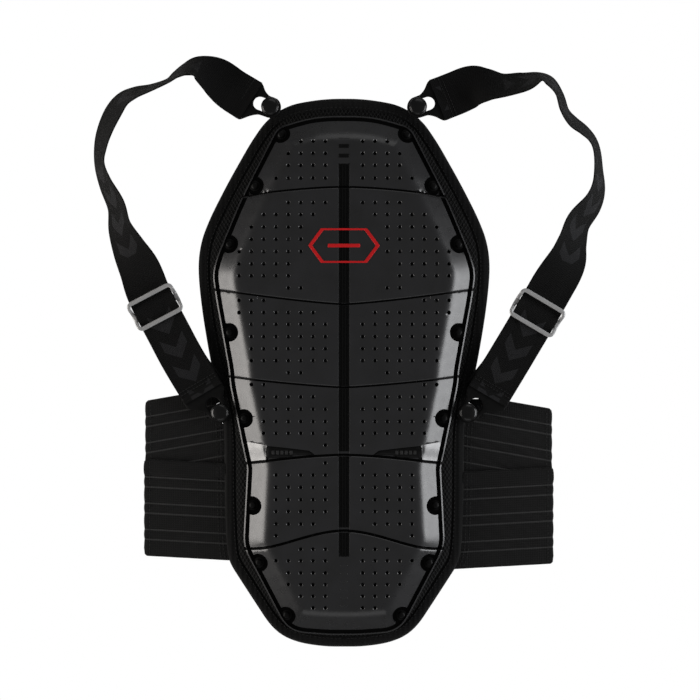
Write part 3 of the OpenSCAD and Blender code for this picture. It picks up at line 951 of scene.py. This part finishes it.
def pad_heights(x, y):
    """Top and bottom of the padding."""
    d = depth(PAD_LINE, x, y)
    side = np.sqrt(np.clip(1 - (1 - ramp(d, 0, 3.0)) ** 2, 0, 1))
    top = 3.4 + 3.5 * side + 0.35 * np.sin(math.pi * ramp(d, 1.5, BINDING_W))
    top = top - 0.9 * np.exp(-(((d - BINDING_W - 0.2) / 0.45) ** 2)) + 1.75 * smooth(d, BINDING_W + 0.2, 15.5)
    row = np.abs((y + 4) % 34 - 17)
    quilt = 0.7 * np.exp(-((row / 1.6) ** 2)) + 0.8 * np.exp(-(((d - BINDING_W) / 0.9) ** 2))
    bottom = 3.4 * (1 - side) + quilt * smooth(d, 5, 9)
    return top, bottom


def capsules(points, radius, lift):
    """Small lengthwise stitches along a 3-D line, as (verts, faces)."""
    verts, faces = [], []
    step = np.gradient(points, axis=0)
    for p, run in zip(points, step):
        run = unit(run)
        side = unit(np.cross((0, 0, 1.0), run))
        up = np.cross(run, side)
        first = len(verts)
        for t, r in ((-0.5, 0.25), (-0.3, 1.0), (0.3, 1.0), (0.5, 0.25)):
            for a in np.linspace(0, 2 * math.pi, 6, endpoint=False):
                round_it = (side * math.cos(a) + up * math.sin(a)) * radius * r
                verts.append(p + run * t * STITCH + round_it + up * lift)
        for ring in range(3):
            for c in range(6):
                q, w = first + ring * 6 + c, first + ring * 6 + (c + 1) % 6
                faces.append((q, w, w + 6, q + 6))
        faces.append(tuple(first + c for c in reversed(range(6))))
        faces.append(tuple(first + 18 + c for c in range(6)))
    return verts, faces


def sew(line, verts, faces, kind, thread_index, radius=0.33, lift=0.0):
    """Adds stitches along a line to a mesh under way, and says how many points they took."""
    more, quads = capsules(line, radius, lift)
    faces += [tuple(v + len(verts) for v in q) for q in quads]
    verts += more
    kind += [thread_index] * len(quads)
    return len(more)


def build_pad(name, low, high, hinge, below, above, nodes):
    right = PAD_LINE[(PAD_LINE[:, 1] > low + 0.2) & (PAD_LINE[:, 1] < high - 0.2)]
    cut = {}
    for y in (low, high):
        if PAD_LINE[0, 1] < y < PAD_LINE[-1, 1]:
            w = width_at(PAD_LINE, y)
            xs = np.unique(np.concatenate([w - np.array((0,) + PAD_DEPTHS), np.arange(0, w - 22, 6.0)]))
            cut[y] = np.array([(x, y) for x in np.concatenate([-xs[::-1], xs[xs > 0]])])
    left = right[::-1] * [-1, 1]
    bottom_edge = cut[low] if low in cut else np.empty((0, 2))
    top_edge = cut[high][::-1] if high in cut else np.empty((0, 2))
    if not len(top_edge):
        left = left[1:]
    if not len(bottom_edge):
        right = right[1:]
    edge = np.concatenate([bottom_edge, right, top_edge, left])
    sketch = Sketch()
    sketch.add(edge, closed=True)
    for d in PAD_DEPTHS:
        line = inset_line(PAD_LINE, d, low + 0.8, high - 0.8)
        sketch.add(line, joined=False)
        sketch.add(line[line[:, 0] > 0.5] * [-1, 1], joined=False)

    def in_middle(x, y):
        return inside(PAD_LINE, x, y) & (y > low + 1) & (y < high - 1) & (depth(PAD_LINE, x, y) > 20)

    sketch.grid(np.arange(-126, 127, 6.0), np.arange(-198, 280, 4.0), in_middle)
    flat, tris = sketch.triangles(lambda x, y: polygon_contains(edge, x, y))
    top, bottom = pad_heights(flat[:, 0], flat[:, 1])
    verts, faces = shell(np.column_stack([flat, top]), np.column_stack([flat, bottom]), tris)
    mid = flat[tris].mean(axis=1)
    bound = depth(PAD_LINE, mid[:, 0], mid[:, 1]) < BINDING_W
    kind = np.zeros(len(faces), int)
    kind[: len(tris)] = np.where(bound, 0, 1)
    kind[len(tris) : 2 * len(tris)] = np.where(bound, 0, 2)
    verts, faces, kind = list(verts), list(faces), list(kind)
    line = resampled(inset_line(PAD_LINE, PAD_STITCH, low + 1, high - 1), 3.6)
    for flip in (1, -1):
        for surface, lift in ((0, 0.05), (1, -0.05)):
            path = line * [flip, 1]
            z = pad_heights(path[:, 0], path[:, 1])[surface]
            sew(np.column_stack([path, z]), verts, faces, kind, 3, lift=lift)
    verts = np.array(verts)
    verts[:, 2] = np.maximum(verts[:, 2], 0)
    materials = [MAT["binding"], MAT["mesh"], MAT["lining"], MAT["thread"]]
    obj = add_mesh(f"padding_{name}", verts, faces, materials, verts[:, :2] * MM, kind, sharp=70)
    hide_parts(*nodes)
    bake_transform(obj)


for piece in PAD_PIECES:
    build_pad(*piece)


# ---------------------------------------------------------------- straps

# Middles of the buttons: X outwards, Y
BUTTON_TOP = (64.5, 272)
BUTTON_WAIST = (108.3, 5)
# Webbing: width, thickness, and how far its middle lies from its route
WEB_W = 38.0
WEB_T = 1.05
WEB_LIFT = 0.6
RETURN_W = WEB_W - 1.5
# Strap routes from the waist up: X outwards, Y, lift of the lower edge's middle, turn on edge in degrees
ROUTES = {
    "left": [
        (126, 26.5, 12.5, 0), (134.5, 41, 15, 0), (143.5, 56.5, 15, 0), (153.9, 76.3, 15, 0),
        (164.8, 97, 15, 0), (171.8, 111.5, 13, 0), (178.5, 130, 8, 14),
        (187.5, 148, 4, 34), (195, 166, 2, 51), (198, 185, 2, 60),
        (207, 204, 2, 67), (212, 220, 2, 70), (211.5, 235, 2, 65), (208, 250, 2, 60), (201, 266, 2, 57),
        (193, 277, 2, 60), (182, 283, 2, 65), (168.5, 287, 2, 71), (153.5, 293, 2, 74), (145.5, 299, 2, 70),
        (137, 303.5, 3, 63), (127, 305.5, 4, 50), (113, 299.5, 7, 27), (99, 288, 10, 8), (86.5, 280, 12.5, 0),
    ],
    "right": [
        (128.5, 24.5, 12.5, 0), (137, 39, 15, 0), (146, 54, 15, 0), (157, 72.5, 15, 0), (168.5, 92, 15, 0),
        (182, 115, 11, 0), (194, 136, 6, 20), (199, 154, 3, 42), (204, 171, 2, 51), (216, 187, 2, 59),
        (221, 201, 2, 65), (221, 218, 2, 71), (219.5, 233, 2, 72), (215.5, 243, 2, 70), (208, 251, 2, 67),
        (199, 258, 2, 66), (191.5, 268, 2, 70), (187, 282, 2, 71), (179, 293, 2, 67), (170, 297, 2, 70),
        (157, 293, 3, 57), (140, 290, 4, 50), (125, 290.5, 7, 33), (112, 290, 9, 10), (98, 284.5, 11, 0),
        (87, 280, 12.5, 0),
    ],
}
ADJUSTER_AT = 4
# How far the returning layer lies towards the padding at each point up to the adjuster
RETURN_SHIFT = (1.3, 1.1, 0.35, 0.25, 0.2, 0)
# How far the webbing's ends reach past its route, and their heights over and under the fittings' bars
LAP_REACH = 6
OVER_BAR = 14.4
UNDER_BAR = 10.4
SIDES = {"left": -1, "right": 1}


def curve_through(points, per_span):
    """A smooth line through points."""
    p = np.array(points, float)
    p = np.concatenate([[2 * p[0] - p[1]], p, [2 * p[-1] - p[-2]]])
    out = []
    for n in range(1, len(p) - 2):
        for t in np.linspace(0, 1, per_span, endpoint=False):
            a, b, c, d = p[n - 1 : n + 3]
            square, cube = 2 * a - 5 * b + 4 * c - d, 3 * b - a - 3 * c + d
            out.append(0.5 * (2 * b + (c - a) * t + square * t**2 + cube * t**3))
    return np.array(out + [p[-2]])


def ribbon(route, sign, width, lift):
    """Webbing swept along a route: verts, faces, UVs and its length."""
    path = curve_through(route, 7)
    step = np.gradient(path[:, :2], axis=0)
    step /= np.linalg.norm(step, axis=1)[:, None]
    turn = np.radians(path[:, 3])
    across = np.stack([-step[:, 1] * np.cos(turn), step[:, 0] * np.cos(turn), np.sin(turn)], 1)
    up = np.stack([step[:, 1] * np.sin(turn), -step[:, 0] * np.sin(turn), np.cos(turn)], 1)
    middle = path[:, :3] + np.outer(np.sin(turn), (0, 0, WEB_W / 2))
    run = np.concatenate([[0], np.cumsum(np.linalg.norm(np.diff(middle, axis=0), axis=1))])
    h = width / 2
    spread = np.array([-h, -h + 0.25, -h + 1.1, -h + 1.9, -h / 2, 0, h / 2, h - 1.9, h - 1.1, h - 0.25, h])
    swell = np.array([0.3, 0.9, 1.15, 0.8, 1, 1, 1, 0.8, 1.15, 0.9, 0.3]) * WEB_T / 2
    ring = [(a, e) for a, e in zip(spread, swell)] + [(a, -e) for a, e in zip(spread[::-1], swell[::-1])]
    n = len(ring)
    verts, uv, faces = [], [], []
    for r in range(len(path)):
        for a, e in ring:
            verts.append(middle[r] + across[r] * a + up[r] * (lift + e))
            uv.append((run[r] * MM, a * MM))
    for r in range(len(path) - 1):
        for c in range(n):
            d = (c + 1) % n
            faces.append((r * n + c, r * n + d, r * n + n + d, r * n + n + c))
    faces.append(tuple(reversed(range(n))))
    faces.append(tuple((len(path) - 1) * n + c for c in range(n)))
    verts = np.array(verts) * [sign, 1, 1]
    if sign < 0:
        faces = [tuple(reversed(f)) for f in faces]
    return list(verts), faces, uv, run[-1] * MM


def lapped(route, reach, lift):
    """The route with both ends carried past the fittings' bars, at another height."""
    ends = []
    for a, b in (route[:2], route[:-3:-1]):
        run = unit(np.array(a[:2], float) - np.array(b[:2], float))
        ends.append((*(np.array(a[:2]) + run * reach), lift, 0))
    return [ends[0]] + list(route) + [ends[1]]


def across_line(route, sign, reach, lift):
    """Stitch line across the webbing, at a distance from the start of its route."""
    a, b = np.array(route[0][:2]), np.array(route[1][:2])
    run = unit(b - a)
    side = np.array([-run[1], run[0]])
    mid = a + run * reach
    z = np.interp(reach, (0, np.linalg.norm(b - a)), (route[0][2], route[1][2]))
    pts = [(*(mid + side * t), z + lift) for t in np.linspace(-16.5, 16.5, 12)]
    return np.array(pts) * [sign, 1, 1]


def build_strap(side):
    sign, route = SIDES[side], ROUTES[side]
    verts, faces, uv, length = ribbon(lapped(route, LAP_REACH, OVER_BAR), sign, WEB_W, WEB_LIFT)
    kind = [0] * len(faces)
    for line in (route, route[::-1]):
        for reach in (2.0, 5.0):
            seam = across_line(line, sign, reach, WEB_LIFT + WEB_T / 2)
            uv += [(0, 0)] * sew(seam, verts, faces, kind, 1, radius=0.3)
    materials = [MAT["webbing"], MAT["thread"]]
    strap = add_mesh(f"shoulder_webbing_{side}", verts, faces, materials, uv, kind, sharp=70)
    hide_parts(f"strap_{side}")
    doubled = lapped(route, LAP_REACH, UNDER_BAR)[: ADJUSTER_AT + 2]
    doubled = [(x - 2.6 * k, y + 1.5 * k, z, turn) for (x, y, z, turn), k in zip(doubled, RETURN_SHIFT)]
    verts, faces, uv, length = ribbon(doubled, sign, RETURN_W, -WEB_LIFT)
    lower = add_mesh(f"return_webbing_{side}", verts, faces, [MAT["webbing"]], uv, sharp=70)
    for obj in (strap, lower):
        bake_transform(obj)


def oriented(points, centre, run):
    """Local points, with local Y along run, moved to a place in plan."""
    side = np.array([run[1], -run[0]])
    return [tuple(np.array(centre) + side * x + run * y) for x, y in points]


def build_adjuster(side):
    """Three-bar slide of bent sheet: the outer bars run over the webbing, the middle one under it."""
    sign, route = SIDES[side], ROUTES[side]
    centre = np.array(route[ADJUSTER_AT][:2], float)
    run = unit(centre - np.array(route[ADJUSTER_AT - 2][:2]))
    top = route[ADJUSTER_AT][2] + WEB_T + 0.9
    dip = 5.6

    def low(x, y):
        along = np.abs((x - sign * centre[0]) * sign * run[0] + (y - centre[1]) * run[1])
        return top - dip * (1 - smooth(along, 2.2, 8.8))

    slot = rounded_rectangle(19.3, 4.0, 1.4)
    loops = [rounded_rectangle(22.3, 13.9, 5.2)]
    loops += [[(x, y + shift) for x, y in slot] for shift in (6.1, -6.1)]
    loops = [[(sign * x, y) for x, y in oriented(loop, centre, run)] for loop in loops]
    obj = slab(f"slide_{side}", loops, low, lambda x, y: low(x, y) + 2.1, 0.8, MAT["adjuster"])
    return place(obj, f"{side}_adjuster", "adjuster_metal", f"adjuster_{side}")


# Fittings: radius about the button, slot's length and radius, half-width under the webbing
FITTING_RING = 9.4
SLOT_LENGTH = 9.6
SLOT_R = 5.9
FITTING_HALF = 18.9
# Distance from the button, a fitting's half-width there, and its share of the sideways shift
FITTING_NECK = [
    (2, 9.4, 0.12), (6, 9.7, 0.35), (11, 12.8, 0.65), (14.6, 16.6, 0.86), (16.8, 18.4, 0.97),
    (19.5, FITTING_HALF, 1),
]


def fitting_loops(button, end, after):
    """Outline and slot of a fitting, from its button to the bar under the webbing's end."""
    run = unit(np.array(after[:2], float) - end[:2])
    side = np.array([-run[1], run[0]])
    away = np.array(end[:2]) - button
    reach, shift = away @ run, away @ side
    flanks = []
    for hand in (1, -1):
        neck = FITTING_NECK + [(reach - 0.6, FITTING_HALF, 1)]
        line = curve_through([(u, shift * share + hand * half) for u, half, share in neck], 4)
        flanks.append([button + run * u + side * v for u, v in line])
    turn = math.atan2(side[1], side[0])
    back = arc(*button, FITTING_RING, turn + np.radians(np.linspace(10, 170, 18)))
    slot = []
    lead = math.atan2(away[1], away[0])
    for at, first in ((SLOT_LENGTH, lead - math.pi / 2), (0, lead + math.pi / 2)):
        centre = np.array(button) + at * unit(away)
        slot += arc(*centre, SLOT_R, first + np.linspace(0, math.pi, 16))
    return [back + flanks[1] + flanks[0][::-1], slot]


def build_fitting(name, ends, body, node):
    """Moulded end fittings: each end is (side sign, button, webbing end, next point of the webbing)."""
    parts = []
    for sign, button, end, after in ends:
        loops = [[(sign * x, y) for x, y in loop] for loop in fitting_loops(button, end, after)]
        parts.append(slab("tab", loops, level(11.05), level(13.9), 0.7, MAT["fitting"]))
    obj = join(parts, name) if len(parts) > 1 else parts[0]
    obj.name = obj.data.name = name
    return place(obj, body, "fitting_plastic", node)


# Profiles of the button with its stem, and of the fabric tab under it: radius and Z
BUTTON = [
    (0, 20.4), (1.7, 20.35), (3.7, 20.1), (5.4, 19.65), (6.4, 19.2), (6.65, 19.0), (6.9, 19.05), (7.45, 18.7),
    (7.8, 18.1), (7.75, 17.4), (7.2, 16.8), (2.0, 16.6), (2.0, 7.0),
]
TAB = [
    (0, 7.6), (4.5, 7.6), (6.6, 7.4), (7.6, 6.8), (8.0, 5.9), (8.0, 1.6), (7.4, 0.7), (6.2, 0.2), (2.0, 0.1),
]


def build_buttons(name, at, body, node):
    places = [(side * at[0], at[1], 0) for side in (1, -1)]
    place(lathe(f"{name}_buttons", BUTTON, places, MAT["button"], 48), body, "button", node)
    tabs = lathe(f"{name}_tabs", TAB, places, MAT["binding"], 40)
    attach(tabs, body)


for side, sign in SIDES.items():
    build_strap(side)
    build_adjuster(side)
    top_end = (sign, BUTTON_TOP, *ROUTES[side][:-3:-1])
    build_fitting(f"neck_fitting_{side}", [top_end], f"{side}_strap", f"top_fitting_{side}")
waist_ends = [(SIDES[side], BUTTON_WAIST, *ROUTES[side][:2]) for side in SIDES]
build_fitting("hip_fittings", waist_ends, "segment_4", "waist_fittings")
build_buttons("neck", BUTTON_TOP, "segment_1", "buttons_top")
build_buttons("hip", BUTTON_WAIST, "segment_4", "buttons_waist")


# ---------------------------------------------------------------- belts

# Heights of the bands' faces, and the two gaps between ribs in turn
BAND_Z = (1.55, 5.0)
RIB_GAPS = (8.7, 14.4)
# Bands of one side: Y of the lower and upper edges at the outer end, how steeply they rise or fall (-) to the
# root, the lowest and highest Y they may reach, and the first rib up from the lower edge
UPPER = dict(edges=(-57.5, 14.9), slope=0.175, limits=(-43.5, 23.5), first=3.2)
LOWER = dict(edges=(-121.4, -36.2), slope=-0.055, limits=(-127, -35), first=14.8)
# Outer ends of the upper and lower band of each side, and how much lower that side's bands lie
BAND_ENDS = {"left": (175.2, 176.2), "right": (183.2, 184.4)}
BAND_DROP = {"left": 0.0, "right": 7.0}
# Levels between which the lower band rises over the upper one, by how much, and its thickness there
LIP = (-51.5, -48.0)
LIP_LIFT = 1.35
LIP_T = 1.1
# Levels between which the upper band thins to pass under the lower band's lip, and by how much
LAPPED = (-33.0, -29.0)
LAPPED_DROP = 1.7


def rib_rows(height, first):
    """Rows up a band as (distance, rise of the face, whether it is a rib)."""
    rows = [(0.0, -1.2, 0), (0.5, -0.3, 0), (1.6, 0.0, 0)]
    v, n = first, 0
    while v < height - 3:
        rows += [(v - 2.2, 0.05, 0), (v - 1.3, -0.35, 0), (v - 0.6, 0.2, 1), (v, 0.35, 1), (v + 0.6, 0.2, 0)]
        rows += [(v + 1.3, -0.35, 0), (v + 2.2, 0.05, 0), (v + RIB_GAPS[n % 2] / 2, 0.22, 0)]
        v += RIB_GAPS[n % 2]
        n += 1
    rows = [row for row in rows if row[0] < height - 2.4]
    rows = sorted(rows + [(height - 1.6, 0.0, 0), (height - 0.5, -0.3, 0), (height, -1.2, 0)])
    between = [((a[0] + b[0]) / 2, (a[1] + b[1]) / 2, 0) for a, b in zip(rows, rows[1:]) if b[0] - a[0] > 1.8]
    return sorted(rows + between)


def root_x(y):
    """X of a band's root: the padding's edge, or the button tab where that reaches further."""
    tab_x, tab_y = BUTTON_WAIST
    reach = math.sqrt(max(0.0, 8.3**2 - (y - tab_y) ** 2))
    return max(width_at(PAD_LINE, y), tab_x + reach if reach else 0) - 0.3


def build_band(name, side, shape, end_x, node):
    sign, dropped = SIDES[side], BAND_DROP[side]
    lowest, highest = shape["edges"]
    height = highest - lowest
    rows = rib_rows(height, shape["first"])
    cols = np.concatenate([np.linspace(0, 0.96, 34), [0.975, 0.985, 0.993, 1.0]])
    lies_over = shape is LOWER
    z0, z1 = BAND_Z
    mid = (z0 + z1) / 2
    under_lip = z1 - z0 + LIP_LIFT - LIP_T
    tops, bottoms, uv = [], [], []

    def face_lift(y):
        return LIP_LIFT * float(smooth(y + dropped, *LIP)) if lies_over else 0.0

    def flattened(y):
        return 0.0 if lies_over else 1 - float(smooth(y + dropped, *LAPPED))

    def row_y(v, x):
        low, high = shape["limits"]
        y = lowest + v + shape["slope"] * (end_x - x)
        return min(max(y, low + v * 0.002), high - (height - v) * 0.002) - dropped

    for v, rib, _ in rows:
        phase = (v - shape["first"]) % sum(RIB_GAPS)
        near, far = RIB_GAPS
        bulge = math.sin(math.pi * (phase / near if phase < near else (phase - near) / far))
        corner = 2.2 * (1 - min(1.0, min(v, height - v) / 2.5)) ** 2
        end = end_x - 0.6 + 0.5 * bulge - corner
        root = root_x(row_y(v, root_x(row_y(v, 112))))
        for share in cols:
            x = root + (end - root) * share
            y = row_y(v, x)
            edge = 0.25 + 0.75 * math.sqrt(max(0.0, 1 - max(0.0, 1 - (end - x) / 2.2) ** 2))
            ripple = 0.25 * math.sin(x * 0.31 + v * 0.7) * math.sin(v * 0.23 + 1)
            ripple *= float(smooth(x, root, root + 6))
            lift, flat = face_lift(y), flattened(y)
            top = mid + (z1 - mid + rib * (1 - flat) + ripple - LAPPED_DROP * flat) * edge + lift
            bottom = mid + (z0 - mid - min(rib, 0) * 0.5) * edge + lift / LIP_LIFT * under_lip
            tops.append((x, y, top))
            bottoms.append((x, y, max(bottom, 1.5)))
            uv.append((x * MM, (lowest + v) * MM))
    m = len(cols)
    tris, kind = [], []
    for r in range(len(rows) - 1):
        for c in range(m - 1):
            q = r * m + c
            tris += [(q, q + 1, q + m), (q + 1, q + m + 1, q + m)]
            # Rows on a rib's top take slot 2, the lighter colour that paints the rib's highlight
            kind += [rows[r][2] * 2] * 2
    verts, faces = shell(np.array(tops), np.array(bottoms), tris)
    kind += [0] * (len(faces) - len(kind))
    uv = uv + uv
    verts, faces = list(verts), list(faces)
    levels = np.arange(row_y(0, 106) + 3, row_y(height, 106) - 3, 3.4)
    seams = [[(root_x(y) + reach, y) for y in levels] for reach in (3.0, 6.5)]
    seams.append([(end_x - 5.2, y) for y in np.arange(row_y(0, end_x) + 3, row_y(height, end_x) - 3, 3.4)])
    for seam in seams:
        heights = [z1 + 0.12 + face_lift(y) - LAPPED_DROP * flattened(y) for _, y in seam]
        uv += [(0, 0)] * sew(np.column_stack([seam, heights]), verts, faces, kind, 1)
    verts = np.array(verts) * [sign, 1, 1]
    if sign < 0:
        faces = [tuple(reversed(f)) for f in faces]
    materials = [MAT["elastic"], MAT["thread"], MAT["rib"]]
    obj = add_mesh(f"{name}_{side}", verts, faces, materials, uv, kind, sharp=60)
    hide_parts(node)
    y = (lowest + height / 2) * MM
    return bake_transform(obj)


def build_patch(name, side, low, high, body, node):
    sign = SIDES[side]
    middle = (low + high) / 2 - BAND_DROP[side]
    outline = [(sign * (153 + x), middle + y) for x, y in rounded_rectangle(21, (high - low) / 2, 3)]
    obj = slab(f"{name}_{side}", [outline], level(0.05), level(1.45), 0.4, MAT["patch"])
    return place(obj, body, "patch", node)


for side in SIDES:
    ends = BAND_ENDS[side]
    build_band("upper_band", side, UPPER, ends[0], f"belt_upper_{side}")
    build_band("lower_band", side, LOWER, ends[1], f"belt_lower_{side}")
    build_patch("upper_patch", side, -34, 8, f"{side}_upper_band", f"belt_patch_upper_{side}")
    build_patch("lower_patch", side, -120, -48, f"{side}_lower_band", f"belt_patch_lower_{side}")


# ---------------------------------------------------------------- CAD pieces that keep their shape

for node_name, node in NODES.items():
    for start, key in (("core", "core"), ("hinge_lugs", "hinge"), ("hinge_pins", "steel")):
        if node_name.startswith(start):
            node.data.materials.clear()
            node.data.materials.append(MAT[key])


# ---------------------------------------------------------------- camera, light and floor

# Point under the camera, lens in mm, width seen at the plates' level, and that level
VIEW_CENTRE = (0.0052, 0.0596)
LENS = 85.0
VIEW_WIDTH = 0.609
PLATE_LEVEL = 0.02


def aim(obj, target):
    obj.rotation_euler = (Vector(target) - obj.location).to_track_quat("-Z", "Y").to_euler()


def softbox(name, place, target, size, power):
    light = bpy.data.lights.new(name, "AREA")
    light.shape = "RECTANGLE"
    light.size, light.size_y = size
    light.energy = power
    obj = bpy.data.objects.new(name, light)
    bpy.context.scene.collection.objects.link(obj)
    obj.location = place
    aim(obj, target)
    return obj


def studio():
    scene = bpy.context.scene
    scene.view_settings.view_transform = "Standard"
    camera = bpy.data.cameras.new("camera")
    camera.lens = LENS
    camera.sensor_width = 36.0
    rig = bpy.data.objects.new("camera", camera)
    scene.collection.objects.link(rig)
    rig.location = (*VIEW_CENTRE, PLATE_LEVEL + VIEW_WIDTH * LENS / 36.0)
    scene.camera = rig
    middle = (0, 0.04, 0.02)
    for side in (-1, 1):
        at = (side * 1.0, -0.05 + 0.03 * side, 0.36)
        light = softbox(f"side_{side}", at, (0, 0.0, 0.02), (0.86, 0.42), 10)
        light.data.color = (1.0, 0.96, 0.92) if side < 0 else (0.97, 0.98, 1.0)
    softbox("head", (0.3, 1.6, 1.0), middle, (1.2, 0.8), 3)
    softbox("foot", (0.0, -1.3, 0.9), middle, (1.2, 0.6), 2)
    world = bpy.data.worlds.new("studio")
    scene.world = world
    world.use_nodes = True
    tree = world.node_tree
    seen = tree.nodes["Background"]
    seen.inputs["Color"].default_value = (1, 1, 1, 1)
    seen.inputs["Strength"].default_value = 1.0
    felt = tree.nodes.new("ShaderNodeBackground")
    felt.inputs["Color"].default_value = (1, 1, 1, 1)
    felt.inputs["Strength"].default_value = 0.16
    blend = tree.nodes.new("ShaderNodeMixShader")
    rays = tree.nodes.new("ShaderNodeLightPath")
    tree.links.new(rays.outputs["Is Camera Ray"], blend.inputs[0])
    tree.links.new(felt.outputs[0], blend.inputs[1])
    tree.links.new(seen.outputs[0], blend.inputs[2])
    tree.links.new(blend.outputs[0], tree.nodes["World Output"].inputs[0])
    mesh = bpy.data.meshes.new("floor")
    half = 3.0
    mesh.from_pydata([(*p, 0) for p in rectangle(-half, half, -half, half)], [], [(0, 1, 2, 3)])
    pale = Paint("pale_floor", base_color=grey(0.85), roughness=0.9)
    mesh.materials.append(pale.material)
    floor = bpy.data.objects.new("floor", mesh)
    scene.collection.objects.link(floor)
    floor.location.z = -0.0005
    floor.visible_camera = False
    floor.visible_shadow = False


studio()
